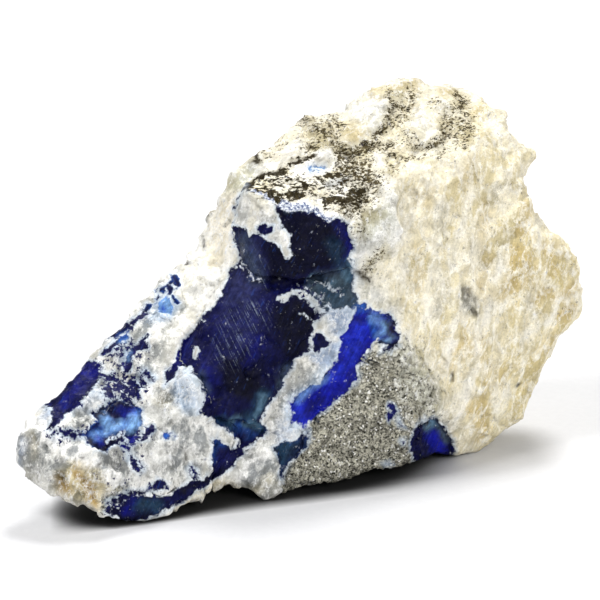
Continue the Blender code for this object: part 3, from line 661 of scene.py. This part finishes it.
    ("navy", 1.0, 4, 2.6, [133, 326, 137, 319, 143, 315, 148, 308], [158, 292, 165, 292],
     [157, 298, 156, 306], [174, 276, 176, 283, 170, 290, 170, 297, 179, 301], [104, 354, 118, 340],
     [114, 336, 128, 328], [148, 373, 151, 378], [138, 382, 141, 394], [122, 384, 126, 388],
     [108, 388, 110, 394]),
    ("indigo", 0.8, 8, 4, [78, 404, 58, 410], [84, 392, 94, 374], [126, 364, 134, 350]),
    ("cobalt", 0.4, 8, 5, [84, 372, 96, 370], [64, 402, 80, 386]),
    ("white", 0.5, 4, 1.2, [82, 401, 84, 404]),
    ("pale_grey", 0.9, 6, 0, [68, 422, 76, 414, 90, 414, 94, 421, 84, 427, 66, 428]),
    ("navy", 0.62, 7, 5, [58, 434, 76, 433, 92, 438], [112, 502, 134, 492, 158, 488]),
    ("navy", 0.5, 7, 6, [130, 456, 142, 468], [192, 468, 196, 480], [104, 396, 130, 400]),
    ("azure", 0.9, 6, 3, [119, 339, 127, 336]),
    ("sky", 0.7, 5, 2.4, [120, 343, 128, 340], [130, 350, 128, 358]),
    ("azure", 0.8, 7, 4, [106, 420, 110, 430, 122, 426], [126, 424, 134, 420, 136, 412],
     [94, 437, 102, 430]),
    ("sky", 0.9, 7, 5, [105, 420, 108, 429, 120, 424], [132, 426, 135, 418]),
    ("royal", 0.4, 7, 4, [124, 410, 132, 412], [98, 441]),
    ("sky", 0.5, 6, 3, [94, 436, 98, 434]),
    ("ink", 0.9, 5, 2.6, [94, 416, 104, 412, 116, 405, 128, 403], [90, 442, 98, 448, 108, 447, 116, 442]),
    ("ice", 0.9, 5, 2.4, [108, 440, 118, 436, 126, 432], [122, 442, 128, 437]),
    ("cobalt", 0.8, 6, 3, [124, 444, 132, 440]),
    ("azure", 0.9, 4, 3, [168, 435, 171, 434]),
    ("indigo", 0.8, 4, 2.4, [194, 472, 196, 475]),
    ("ice", 0.9, 7, 11, [166, 307]),
    ("sky", 1.0, 7, 8, [166, 307]),
    ("azure", 1.0, 6, 3, [164, 308]),
    ("cobalt", 0.8, 3, 1.2, [164, 308]),
    ("grey", 0.7, 6, 3, [174, 288, 177, 292], [140, 322, 145, 318], [162, 286, 154, 300]),
    # sharp dark marks
    ("dark", 1.0, 3, 1.8, [357, 273, 368, 281], [451, 374, 452, 380], [517, 386, 520, 383],
     [204, 240, 203, 246], [182, 262, 186, 261], [256, 162, 260, 158], [474, 308, 478, 314]),
    ("dark", 0.7, 3, 1.2, [463, 292, 469, 289, 475, 295, 480, 306], [496, 417, 498, 421],
     [388, 154, 404, 157], [390, 104, 396, 108, 388, 118], [374, 133, 381, 131], [446, 128, 450, 132],
     [300, 121, 314, 120], [346, 154, 358, 157], [392, 324, 394, 330], [410, 356, 412, 362]),
]
MASKS = ("blue", "banded", "grainy", "web", "leaf", "net", "grit", "dark", "haze", "fleck", "scratch", "edge")


# Raised and sunken places: the height in millimetres, edge softness, stroke radius and paths
SCULPT = [
    (0.7, 5, 0, STUB_SIDE_BLOCK),
    (-0.6, 5, 3, [357, 275, 368, 281]),
    (-0.5, 12, 5, [372, 290, 396, 268, 412, 240]),
    (0.5, 10, 5, [373, 157, 384, 179, 391, 196]),
    (-0.5, 12, 8, [410, 100, 402, 122, 388, 132]),
    (-0.45, 12, 8, [466, 96, 464, 120, 450, 136]),
    (0.45, 14, 12, [418, 124, 430, 128]),
    (0.4, 14, 10, [364, 118, 376, 112]),
    (-0.5, 8, 6, [468, 296, 474, 308]),
    (0.4, 10, 4, [452, 380, 457, 300, 470, 230]),
    (0.35, 12, 4, [424, 330, 430, 262, 440, 200]),
    (-0.4, 12, 5, [484, 300, 492, 248]),
    (0.4, 10, 4, [520, 300, 530, 230, 528, 204]),
    (-0.4, 14, 6, [540, 300, 548, 250]),
    (0.4, 8, 0, [170, 384, 180, 369, 194, 370, 205, 388, 206, 412, 186, 414, 172, 400]),
    (0.45, 6, 4, [204, 414, 238, 442]),
    (0.4, 12, 9, [66, 452, 96, 466, 130, 478]),
    (-0.5, 10, 8, [82, 478, 94, 492]),
    (-0.4, 8, 4, [168, 436]),
    (0.5, 14, 12, [250, 470, 264, 480]),
]


def sculpt(skin):
    """Raise and sink the drawn places."""
    height = np.zeros(len(skin.points))
    for depth, softness, radius, *paths in SCULPT:
        for points in paths:
            height += cover_of(skin.wavy, softness, radius, points) * depth * skin.front
    skin.move(skin.normals, height * 0.8)


class Shader:
    """A material's node tree, with a short method for each kind of node in use. Lengths are millimetres."""

    def __init__(self, name):
        self.material = bpy.data.materials.new(name)
        self.material.use_nodes = True
        self.tree = self.material.node_tree
        self.surface = self.tree.nodes["Principled BSDF"]

    def put(self, socket, value):
        if isinstance(value, bpy.types.NodeSocket):
            self.tree.links.new(value, socket)
        elif socket.type == "RGBA":
            socket.default_value = (*value, 1.0)
        else:
            socket.default_value = value

    def node(self, kind, inputs, **settings):
        made = self.tree.nodes.new(kind)
        for key, value in settings.items():
            setattr(made, key, value)
        for key, value in inputs.items():
            self.put(made.inputs[key], value)
        return made

    def place(self, size, lean=0.0, shift=0.0):
        """Texture places along the view's across, back and up axes, with the size as one unit."""
        sizes = np.array(size if isinstance(size, tuple) else (size,) * 3, float) * MM
        turn = Matrix.Rotation(-SIGHT_DROP, 3, "X") @ Matrix.Rotation(math.radians(lean), 3, "Y")
        source = self.node("ShaderNodeTexCoord", {}).outputs["Object"]
        mapped = self.node("ShaderNodeMapping", {0: source, 1: (shift,) * 3}, vector_type="TEXTURE")
        mapped.inputs["Rotation"].default_value = turn.to_euler()
        mapped.inputs["Scale"].default_value = sizes
        return mapped.outputs[0]

    def noise(self, size, detail=3.0, rough=0.55, lean=0.0, shift=0.0, spread=0.18):
        """Noise around 0.5, most of it between 0 and 1."""
        made = self.node("ShaderNodeTexNoise", {"Vector": self.place(size, lean, shift), "Scale": 1.0,
                                                "Detail": detail, "Roughness": rough})
        return self.span(made.outputs[0], 0.5 - spread, 0.5 + spread)

    def vector(self, operation, a, b):
        return self.node("ShaderNodeVectorMath", {0: a, 1: b}, operation=operation).outputs[0]

    def wavy(self, size, lean, warp):
        """Texture places, each moved by noise by about half the warp."""
        place = self.place(size, lean)
        wave = self.node("ShaderNodeTexNoise", {"Vector": place, "Scale": 1.6, "Detail": 2.0})
        return self.vector("ADD", place, self.vector("MULTIPLY", wave.outputs["Color"], (warp,) * 3))

    def cells(self, size, output="Color", lean=0.0, feature="F1", warp=0.0):
        """Random colours of irregular cells, or their distance outputs."""
        place = self.wavy(size, lean, warp)
        made = self.node("ShaderNodeTexVoronoi", {"Vector": place, "Scale": 1.0}, feature=feature)
        return made.outputs[output]

    def facets(self, size, tilt, lean=0.0):
        """Heights in millimetres of flat cells that each lean their own way."""
        place = self.wavy(size, lean, 0.4)
        cell = self.node("ShaderNodeTexVoronoi", {"Vector": place, "Scale": 1.0})
        offset = self.vector("SUBTRACT", place, cell.outputs["Position"])
        slope = self.vector("SUBTRACT", cell.outputs["Color"], (0.5,) * 3)
        height = self.node("ShaderNodeVectorMath", {0: offset, 1: slope}, operation="DOT_PRODUCT")
        smallest = min(size) if isinstance(size, tuple) else size
        return self.times(height.outputs["Value"], tilt * smallest)

    def part(self, colour, channel):
        return self.node("ShaderNodeSeparateColor", {0: colour}).outputs[channel]

    def span(self, value, low, high, to_low=0.0, to_high=1.0, smooth=False):
        """The value carried from one range to another, and held there."""
        made = self.node("ShaderNodeMapRange", {"Value": value, "From Min": low, "From Max": high,
                                                "To Min": to_low, "To Max": to_high})
        made.interpolation_type = "SMOOTHSTEP" if smooth else "LINEAR"
        return made.outputs[0]

    def between(self, value, at_zero, at_one):
        """One value at 0 and another at 1."""
        return self.span(value, 0.0, 1.0, at_zero, at_one)

    def line(self, value, middle, width, strength):
        """The strength where the value passes the middle, fading over the width."""
        away = self.math("ABSOLUTE", self.math("SUBTRACT", value, middle))
        return self.span(away, 0.0, width, strength, 0.0)

    def math(self, operation, a, b=0.0, clamp=False):
        return self.node("ShaderNodeMath", {0: a, 1: b}, operation=operation, use_clamp=clamp).outputs[0]

    def times(self, a, b):
        return self.math("MULTIPLY", a, b)

    def mask(self, name):
        return self.node("ShaderNodeAttribute", {}, attribute_name=name).outputs["Fac"]

    def coat(self, name):
        return self.node("ShaderNodeAttribute", {}, attribute_name=name).outputs["Color"]

    def broken(self, mask, noise, edge):
        """One where the noise lets the mask through: more of it the stronger the mask."""
        total = self.math("ADD", mask, noise)
        return self.span(total, 1.0 - edge / 2, 1.0 + edge / 2)

    def mix(self, factor, a, b, blend="MIX"):
        made = self.node("ShaderNodeMix", {}, data_type="RGBA", blend_type=blend)
        self.put(made.inputs[0], factor)
        self.put(made.inputs[6], a)
        self.put(made.inputs[7], b)
        return made.outputs[2]

    def scaled(self, colour, value):
        """The colour made lighter or darker by a factor."""
        return self.node("ShaderNodeVectorMath", {0: colour, "Scale": value}, operation="SCALE").outputs[0]

    def varied(self, colour, value, at_zero, at_one):
        """The colour made lighter or darker by a value from 0 to 1."""
        return self.scaled(colour, self.between(value, at_zero, at_one))

    def lay(self, base, name, factor):
        """A named screen colour over the base."""
        return self.mix(factor, base, screen(*COLOURS[name]))

    def finish(self, colour, roughness, heights):
        """Plug in the colour, the roughness, and the sum of the (height socket, depth in millimetres)."""
        self.put(self.surface.inputs["Base Color"], colour)
        self.put(self.surface.inputs["Roughness"], roughness)
        total = 0.0
        for height, depth in heights:
            added = self.node("ShaderNodeMath", {0: height, 1: depth, 2: total}, operation="MULTIPLY_ADD")
            total = added.outputs[0]
        bump = self.node("ShaderNodeBump", {"Strength": 1.0, "Distance": MM, "Height": total})
        self.put(self.surface.inputs["Normal"], bump.outputs[0])
        return self.material


class Specimen(Shader):
    """Calcite, soil and painted shade, metallic grains and blue crystal, each where its mask lets it through.
    """

    def __init__(self, name):
        super().__init__(name)
        self.banded = self.mask("banded")
        self.side = self.noise((0.9, 0.9, 1.5), 7.0, 0.7, lean=14.0, shift=4.0)
        self.fine = self.noise(0.3, 4.0, 0.7)
        self.cloud = self.noise(0.55, 4.0, 0.7, shift=5.0)
        self.leaf = self.noise((0.5, 0.45, 0.3), 4.0, 0.7, lean=-20.0, shift=2.0)
        self.bold = self.noise((1.5, 1.2, 0.75), 5.0, 0.62, lean=-8.0, shift=7.0)
        self.clots = self.noise((0.8, 0.8, 0.9), 5.0, 0.66, shift=11.0)
        self.cell = self.cells((0.8, 0.8, 1.4), lean=12.0, warp=0.5)
        self.small = self.cells(0.25)

    def calcite(self):
        """Clear and milky grains, long ones where it is banded, with white veins, fibres and cracks."""
        banded = self.banded
        grainy = self.mask("grainy")
        main = self.noise((2.8, 2.8, 4.8), 8.0, 0.64, lean=12.0)
        slab_size = (2.3, 2.3, 6.0)
        slab = self.cells(slab_size, lean=15.0, warp=0.9)
        slabby = self.math("ADD", self.span(self.part(slab, 0), 0.3, 0.8, 0.0, 0.75),
                           self.span(main, 0.56, 0.3, 0.0, 0.4))
        clear = self.mix(banded, self.span(main, 0.56, 0.3), slabby)
        tone = self.coat("tone")
        tint = self.mix(grainy, (0.90, 0.88, 0.82), (0.38, 0.40, 0.42))
        tint = self.mix(banded, tint, (0.82, 0.77, 0.60))
        base = self.mix(clear, tone, self.mix(1.0, tone, tint, "MULTIPLY"))

        fibrous = self.noise((0.28, 0.28, 2.0), 4.0, 0.6, lean=15.0, shift=3.0)
        fibrous = self.times(self.math("SUBTRACT", fibrous, 0.6), banded)
        base = self.scaled(base, self.span(fibrous, -0.5, 0.5, 0.9, 1.1))
        snow = self.mix(banded, screen(252, 252, 250), screen(250, 245, 229))
        rims = self.cells(slab_size, "Distance", 15.0, "DISTANCE_TO_EDGE", 0.9)
        rims = self.times(self.span(rims, 0.02, 0.12, 0.9, 0.0), banded)
        rims = self.times(rims, self.span(self.side, 0.2, 0.7))
        whiter = self.times(self.span(self.side, 0.6, 0.86), self.between(banded, 0.65, 0.5))
        for white in (rims, whiter, self.line(main, 0.56, 0.05, 0.7)):
            base = self.mix(white, base, snow)
        base = self.varied(base, self.part(self.cell, 0), 0.88, 1.06)
        base = self.varied(base, self.fine, 0.84, 1.1)
        base = self.lay(base, "dim", self.times(self.line(self.side, 0.4, 0.04, 0.4), grainy))
        return self.varied(base, self.mask("edge"), 1.0, 0.92)

    def soiled_and_shaded(self, base):
        """The base under leaf-shaped patches and nets of dark soil, partly painted shade on the weathered
        top, and how much there is.
        """
        netted = self.mask("net")
        netting = self.noise((1.0, 0.9, 0.42), 6.0, 0.7, lean=-8.0, shift=7.0)
        leafy = self.times(self.mask("leaf"), self.span(self.bold, 0.1, 0.9, 0.7, 1.25))
        base = self.lay(base, "straw", self.times(self.math("MAXIMUM", leafy, netted), 0.5))
        base = self.lay(base, "olive", self.times(leafy, self.span(self.cloud, 0.3, 0.9, 0.15, 0.9)))
        soil_and_shade = self.math("MAXIMUM", self.broken(leafy, self.leaf, 0.2), self.broken(netted, netting, 0.1))
        brownness = self.times(self.cloud, self.span(netted, 0.0, 0.4, 1.0, 0.55))
        return self.mix(soil_and_shade, base, self.mix(brownness, screen(12, 10, 6), screen(96, 85, 58))), soil_and_shade

    def gritted(self, base):
        """The base under fine metallic grains, with painted glints on a few of them, and where they are."""
        gritty = self.between(self.mask("grit"), 0.0, 1.3)
        gritty = self.broken(gritty, self.noise(0.9, 4.0, 0.7, shift=9.0), 0.4)
        grain = self.span(self.noise(0.24, 3.0, 0.75, shift=13.0), -0.1, 1.1)
        grain = self.times(self.math("ADD", grain, self.part(self.small, 0)), 0.5)
        grit = self.mix(self.span(grain, 0.22, 0.78), screen(26, 25, 20), screen(196, 193, 176))
        grit = self.varied(grit, self.part(self.cell, 1), 0.7, 1.15)
        # a few grains turn white: painted glints
        painted_glint = self.span(self.part(self.small, 2), 0.94, 0.96, 0.0, 0.7)
        return self.mix(gritty, base, self.lay(grit, "snow", painted_glint)), gritty

    def seamed(self, base):
        """The base with a pale blue rim around the crystals and dark blue seams between its grains."""
        seams = self.cells(0.72, "Distance", feature="DISTANCE_TO_EDGE", warp=0.5)
        webby = self.times(self.span(seams, 0.0, 0.3, 0.85, 0.4), self.mask("web"))
        base = self.lay(base, "ice", self.span(self.mask("blue"), 0.05, 0.5, 0.0, 0.6))
        return self.mix(self.broken(webby, self.clots, 0.16), base, screen(26, 28, 74))

    def crystal(self):
        """Deep blue with lighter and darker fibres, scratches and pale specks."""
        fibre = self.noise((0.35, 0.9, 2.4), 4.0, 0.62, lean=27.0)
        light = self.math("ADD", self.between(self.bold, 0.6, 1.05), self.between(fibre, -0.25, 0.35))
        deep = self.varied(self.scaled(self.coat("deep"), light), self.clots, 0.6, 1.15)
        deep = self.lay(deep, "azure", self.span(fibre, 0.86, 1.1, 0.0, 0.25))
        scratch = self.noise((0.08, 4.0, 7.0), 1.0, 0.5, lean=-26.0, spread=0.3)
        lines = self.times(self.span(scratch, 0.68, 0.86), self.mask("scratch"))
        lines = self.times(lines, self.span(self.cloud, 0.3, 0.6))
        deep = self.lay(deep, "ice", self.times(lines, 0.42))
        speck = self.noise(0.42, 3.0, 0.7, shift=6.0, spread=0.25)
        flecks = self.times(self.span(speck, 0.86, 0.95), self.mask("fleck"))
        return self.lay(deep, "pale_grey", self.times(flecks, 0.8))

    def built(self):
        """The whole material."""
        base, soil_and_shade = self.soiled_and_shaded(self.calcite())
        base, gritty = self.gritted(base)
        edge = self.between(self.noise(0.7, 4.0, 0.6, shift=2.0), 0.3, 0.7)
        blue = self.broken(self.mask("blue"), edge, 0.2)
        base = self.mix(blue, self.seamed(base), self.crystal())
        # the haze colour: a milky skin, and on the main crystal's left facet a painted sheen
        milk_and_sheen = self.mix(self.span(self.leaf, 0.3, 0.7), screen(62, 80, 122), screen(236, 240, 247))
        base = self.mix(self.broken(self.mask("haze"), self.side, 0.3), base, milk_and_sheen)
        base = self.lay(base, "umber", self.mask("dark"))

        rough = self.between(self.part(self.cell, 1), 0.34, 0.62)
        rough = self.math("ADD", rough, self.times(soil_and_shade, 0.3))
        rough = self.math("SUBTRACT", rough, self.times(blue, 0.2), clamp=True)
        metal = self.times(gritty, self.span(self.part(self.small, 1), 0.6, 0.7, 0.0, 0.4))
        self.put(self.surface.inputs["Metallic"], metal)
        self.surface.inputs["Specular IOR Level"].default_value = 0.06
        rugged = self.between(blue, 1.0, 0.35)
        finely = self.times(rugged, self.between(self.banded, 1.0, 0.5))
        return self.finish(base, rough, [
            (self.facets((1.5, 1.5, 2.6), 0.45, lean=12.0), rugged),
            (self.facets(0.55, 0.6), finely),
            (self.fine, 0.035),
            (self.times(self.part(self.small, 0), gritty), 0.08),
        ])


# Shapes

def fine_copy(name, node, voxel):
    """A new piece with the node's shape, in even faces a voxel wide."""
    blank = bpy.data.objects.new(name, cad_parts[node].data.copy())
    bpy.context.scene.collection.objects.link(blank)
    blank.data.materials.clear()
    remesh = blank.modifiers.new("Even faces", "REMESH")
    remesh.mode = "VOXEL"
    remesh.voxel_size = voxel * MM
    bpy.context.view_layer.update()
    mesh = bpy.data.meshes.new_from_object(blank.evaluated_get(bpy.context.evaluated_depsgraph_get()))
    blank.modifiers.clear()
    blank.data = mesh
    mesh.shade_smooth()
    return blank


def close_gaps(piece, neighbours, reach):
    """Draw the walls near a neighbour a little way into it, fully from half the reach on."""
    for crystal in neighbours:
        tree = BVHTree.FromObject(crystal.obj, bpy.context.evaluated_depsgraph_get())
        low = crystal.points.min(axis=0) - reach
        high = crystal.points.max(axis=0) + reach
        near = np.flatnonzero(np.all((piece.points > low) & (piece.points < high), axis=1))
        for index in near:
            place, normal, _, distance = tree.find_nearest(Vector(piece.points[index] * MM), reach * MM)
            if place is None:
                continue
            target = np.array(place - normal * POCKET_BITE * MM) / MM
            step = target - piece.points[index]
            if step @ piece.normals[index] > FACING_AWAY * np.linalg.norm(step):
                piece.points[index] += step * min(1.0, 2.0 - 2.0 * distance / (reach * MM))
    piece.write()


def steps_around(gap):
    """How many direction steps each gap from the outline's middle is turned around it."""
    return (np.arctan2(gap[:, 1], gap[:, 0]) / (2 * math.pi)) % 1.0 * DIRECTIONS


def outline_radii(view):
    """How far the farthest of the view points lies from the outline's middle, by direction."""
    gap = view - OUTLINE_MIDDLE
    radii = np.zeros(DIRECTIONS)
    np.maximum.at(radii, np.round(steps_around(gap)).astype(int) % DIRECTIONS, np.linalg.norm(gap, axis=1))
    return radii


def drawn_radii():
    """The same for the drawn outline, filled in closely along its sides."""
    corners = np.array(OUTLINE, float).reshape(-1, 2)
    steps = np.linspace(0.0, 1.0, 60, endpoint=False)[:, None]
    sides = [a + (b - a) * steps for a, b in zip(corners, np.roll(corners, -1, axis=0))]
    return outline_radii(np.concatenate(sides))


def fit_outline(skins):
    """Stretch all the pieces alike, within the view's plane, until their outline is the drawn one."""
    made = outline_radii(np.concatenate([skin.view for skin in skins]))
    ratio = drawn_radii() / made
    ratio = np.convolve(np.tile(ratio, 3), np.ones(5) / 5, mode="same")[DIRECTIONS:-DIRECTIONS]
    ring = np.arange(DIRECTIONS + 1)
    for skin in skins:
        gap = skin.view - OUTLINE_MIDDLE
        turn = steps_around(gap)
        stretch = np.interp(turn, ring, np.append(ratio, ratio[0]))
        rim = np.interp(turn, ring, np.append(made, made[0]))
        share = np.clip(np.linalg.norm(gap, axis=1) / rim, 0.0, 1.0) ** OUTLINE_FADE
        moved = gap * ((stretch - 1.0) * share)[:, None] / STEPS_PER_MM
        skin.sight[:, :2] += moved * (1.0, -1.0)
        skin.points = world_of(skin.sight)
        skin.points[:, 2] = np.maximum(skin.points[:, 2], 0.0)
        skin.write()


def waver(skins):
    """Shift all the pieces alike by a small smooth noise, so that no edge is straight."""
    for skin in skins:
        skin.move(noise_vectors(skin.points, 2.6, 60, 2), WAVER)


def tilted_grains(places, size, seed, tilt, step):
    """Heights of tilted flat grains, with how far each point is from a grain's edge, and a tint."""
    edge, offset, chance = grains(places, size, seed)
    height = tilt * np.sum(offset * (chance[:, :3] - 0.5), axis=1) * 2.0
    return height + step * (chance[:, 3] - 0.5), edge, chance[:, 4] - 0.5


def leaning(sight, lean, stretch):
    """Sight places turned in the view's plane and squeezed along their length."""
    turn = math.radians(lean)
    across, up, back = sight.T
    along = up * math.cos(turn) + across * math.sin(turn)
    aside = across * math.cos(turn) - up * math.sin(turn)
    return np.stack((aside, along / stretch, back), axis=1)


def shape_stone(skin):
    """Broken grains: long and leaning on the cream face, small and rough around the crystals."""
    banded = skin.masks["banded"]
    grainy = skin.masks["grainy"]
    wavy = skin.sight + noise_vectors(skin.sight, 3.0, 70) * 1.2
    long_height, long_edge, long_tint = tilted_grains(leaning(wavy, 12.0, 2.6), 2.6, 100, 0.20, 0.24)
    wide_height, wide_edge, wide_tint = tilted_grains(wavy, 3.0, 200, 0.20, 0.28)
    small_height, _, small_tint = tilted_grains(wavy, 1.25, 300, 0.34, 0.25)
    height = wide_height + (long_height - wide_height) * banded
    tint = wide_tint + (long_tint - wide_tint) * banded
    edge = wide_edge + (long_edge - wide_edge) * banded
    height += small_height * (0.15 + 0.9 * grainy)
    tint += small_tint * (0.3 + 0.7 * grainy)
    height += smooth_noise(skin.sight, 0.8, 90) * 0.10
    height *= 1.0 - 0.75 * skin.masks["blue"]
    height += smooth_noise(skin.sight, 7.0, 80, 2) * 0.5
    skin.tone *= (1.0 + tint * 0.16)[:, None]
    skin.masks["edge"] = 1.0 - eased(edge, 0.0, 0.4)
    skin.move(skin.normals, height * 0.8)


def shape_crystal(skin, unevenness, seed):
    """Flat breaks and low waves, with calcite standing a little higher."""
    blue = skin.masks["blue"]
    height = smooth_noise(skin.sight, 3.6, seed, 3) * unevenness
    step, _, tint = tilted_grains(skin.sight, 1.7, seed + 50, 0.16, 0.10)
    rough, _, _ = tilted_grains(skin.sight, 1.1, seed + 90, 0.3, 0.25)
    height += step * 0.6 * unevenness + (1.0 - blue) * (0.2 + rough)
    height -= skin.masks["dark"] * 0.2
    skin.deep *= (1.0 + tint * 0.25)[:, None]
    skin.move(skin.normals, height)


def shape_grains(skin):
    """Fine grains on low waves."""
    height, _, _ = tilted_grains(skin.sight, 0.95, 600, 0.3, 0.22)
    waves = smooth_noise(skin.sight, 4.0, 610, 2) * 0.5
    skin.move(skin.normals, height + waves + smooth_noise(skin.sight, 0.55, 620) * 0.25)


def paint_back(skin):
    """Guessed stains on the stone's sides and back, which the view doesn't show."""
    along = skin.sight[:, 0] / 20.0
    behind = 1.0 - skin.front
    patches = smooth_noise(skin.sight, 14.0, 20, 3)
    stains = {
        "cream": eased(along + patches * 1.5, -0.6, 0.8),
        "straw": eased(smooth_noise(leaning(skin.sight, 12.0, 3.0), 5.0, 21, 3), 0.05, 0.4) * 0.6,
        "pale_grey": eased(smooth_noise(skin.sight, 7.0, 22, 3), 0.0, 0.35) * 0.6,
    }
    for name, cover in stains.items():
        skin.tone = skin.mixed_in(skin.tone, name, behind * cover)
    topside = eased(skin.normals[:, 2], 0.45, 0.85) * eased(skin.points[:, 2], 30.0, 38.0)
    skin.masks["banded"] = behind * eased(along + patches, -0.4, 0.6)
    skin.masks["grainy"] = behind * eased(-along + patches, 0.2, 0.9)
    skin.masks["leaf"] = topside * behind ** 4 * eased(smooth_noise(skin.sight, 5.0, 23, 2), -0.1, 0.3) * 0.8
    left = eased(-skin.sight[:, 0] / 30.0, 0.2, 0.8)
    skin.masks["blue"] = behind * left * eased(smooth_noise(skin.sight, 3.0, 25, 2), 0.22, 0.4)
    skin.masks["web"] = behind * left * eased(smooth_noise(skin.sight, 6.0, 26, 2), 0.0, 0.3) * 0.7


# Stage

def area_light(name, place, size, power):
    """A round lamp that shines on the specimen."""
    light = bpy.data.lights.new(name, "AREA")
    light.shape = "DISK"
    light.size = size
    light.energy = power
    obj = bpy.data.objects.new(name, light)
    obj.location = place
    obj.rotation_euler = (Vector(LAMP_AIM) - Vector(place)).to_track_quat("-Z", "Y").to_euler()
    bpy.context.scene.collection.objects.link(obj)


def build_floor():
    """Pale paper, with a painted contact shadow that darkens it where the stone almost touches it."""
    bm = bmesh.new()
    bmesh.ops.create_grid(bm, x_segments=1, y_segments=1, size=FLOOR_HALF)
    mesh = bpy.data.meshes.new("floor")
    bm.to_mesh(mesh)
    bm.free()
    floor = bpy.data.objects.new("floor", mesh)
    bpy.context.scene.collection.objects.link(floor)

    paper = Shader("floor_paper")
    speck = paper.noise(1.0, 3.0)
    pale = paper.mix(speck, (0.66, 0.66, 0.67), (0.68, 0.68, 0.69))
    nearness = paper.node("ShaderNodeAmbientOcclusion", {"Distance": CONTACT_REACH}).outputs["AO"]
    place = paper.node("ShaderNodeTexCoord", {}).outputs["Object"]
    along, back, _ = paper.node("ShaderNodeSeparateXYZ", {0: place}).outputs
    slanted = paper.math("SUBTRACT", back, paper.times(along, SHADOW_SLANT))
    depth = paper.times(paper.span(along, *SHADOW_START),
                        paper.span(along, *SHADOW_FADE, SHADOW_DEPTH, 0.0, smooth=True))
    depth = paper.times(depth, paper.span(slanted, *SHADOW_FRONT))
    # painted contact shadow: the paper's colour darkens near the stone
    pale = paper.scaled(pale, paper.math("POWER", nearness, depth))
    mesh.materials.append(paper.finish(pale, 0.9, [(speck, 0.005)]))


def build_surround():
    """White all round, at full strength behind the specimen and dimmer as a light."""
    world = bpy.data.worlds.new("surround")
    world.use_nodes = True
    tree = world.node_tree
    background = tree.nodes["Background"]
    path = tree.nodes.new("ShaderNodeLightPath")
    strength = tree.nodes.new("ShaderNodeMapRange")
    strength.inputs["To Min"].default_value = WORLD_STRENGTH
    tree.links.new(path.outputs["Is Camera Ray"], strength.inputs["Value"])
    tree.links.new(strength.outputs[0], background.inputs["Strength"])
    background.inputs["Color"].default_value = (1.0, 1.0, 1.0, 1.0)
    bpy.context.scene.world = world
    for lamp in LAMPS:
        area_light(*lamp)


def build_camera():
    """A long lens that frames the display view."""
    lens = bpy.data.cameras.new("camera")
    lens.sensor_width = SENSOR_WIDTH
    lens.lens = SENSOR_WIDTH * CAMERA_DISTANCE / (VIEW_SIDE / STEPS_PER_MM * MM)
    lens.clip_end = 20.0
    camera = bpy.data.objects.new("camera", lens)
    direction = Vector((0.0, math.cos(SIGHT_DROP), -math.sin(SIGHT_DROP)))
    camera.location = Vector(SIGHT_CENTRE) * MM - direction * CAMERA_DISTANCE
    camera.rotation_euler = direction.to_track_quat("-Z", "Y").to_euler()
    bpy.context.scene.collection.objects.link(camera)
    bpy.context.scene.camera = camera


# Each piece: its name, CAD node, face size, material slot, first colour, the mask of its hidden sides,
# and how uneven its faces are.
Piece = collections.namedtuple("Piece", "name node voxel slot colour inside uneven")
PIECES = [
    Piece("calcite_stone", "calcite_matrix", 0.41, "calcite", "indigo", None, 0.0),
    Piece("navy_crystal", "afghanite_main_crystal", 0.28, "navy_afghanite", "navy", "blue", 0.5),
    Piece("bright_crystal", "afghanite_bright_crystal", 0.24, "cobalt_afghanite", "cobalt", "blue", 0.6),
    Piece("foot_crystal", "afghanite_foot_crystal", 0.24, "cobalt_afghanite", "navy", "blue", 0.5),
    Piece("nose_crystal", "afghanite_nose_crystal", 0.24, "navy_afghanite", "navy", "blue", 0.5),
    Piece("zoned_crystal", "afghanite_zoned_crystal", 0.24, "zoned_afghanite", "azure", "blue", 0.5),
    Piece("ridge_crystal", "afghanite_ridge_crystal", 0.24, "zoned_afghanite", "azure", "blue", 0.5),
    Piece("pyrite_mass", "pyrite_grain_mass", 0.27, "pyrite_grains", "indigo", "grit", 0.0),
]


def main():
    bpy.context.scene.view_settings.view_transform = "Standard"
    bpy.context.scene.view_settings.look = "None"
    build_floor()
    build_surround()
    build_camera()
    skins = [Skin(fine_copy(piece.name, piece.node, piece.voxel)) for piece in PIECES]
    stone = skins[0]
    close_gaps(skins[-1], skins[2:4], GRAIN_REACH)
    close_gaps(stone, skins[1:], POCKET_REACH)
    fit_outline(skins)
    waver(skins)
    materials = {}
    for seed, (piece, skin) in enumerate(zip(PIECES, skins)):
        skin.start_paint(piece)
        if skin is stone:
            paint_back(skin)
        skin.paint(PICTURE)
        sculpt(skin)
        if skin is stone:
            shape_stone(skin)
        elif piece.inside == "grit":
            shape_grains(skin)
        else:
            shape_crystal(skin, piece.uneven, 700 + 10 * seed)
        skin.store()
        if piece.slot not in materials:
            materials[piece.slot] = Specimen(piece.slot).built()
        skin.mesh.materials.append(materials[piece.slot])
        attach(skin.obj, "root")
        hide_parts(piece.node)


main()
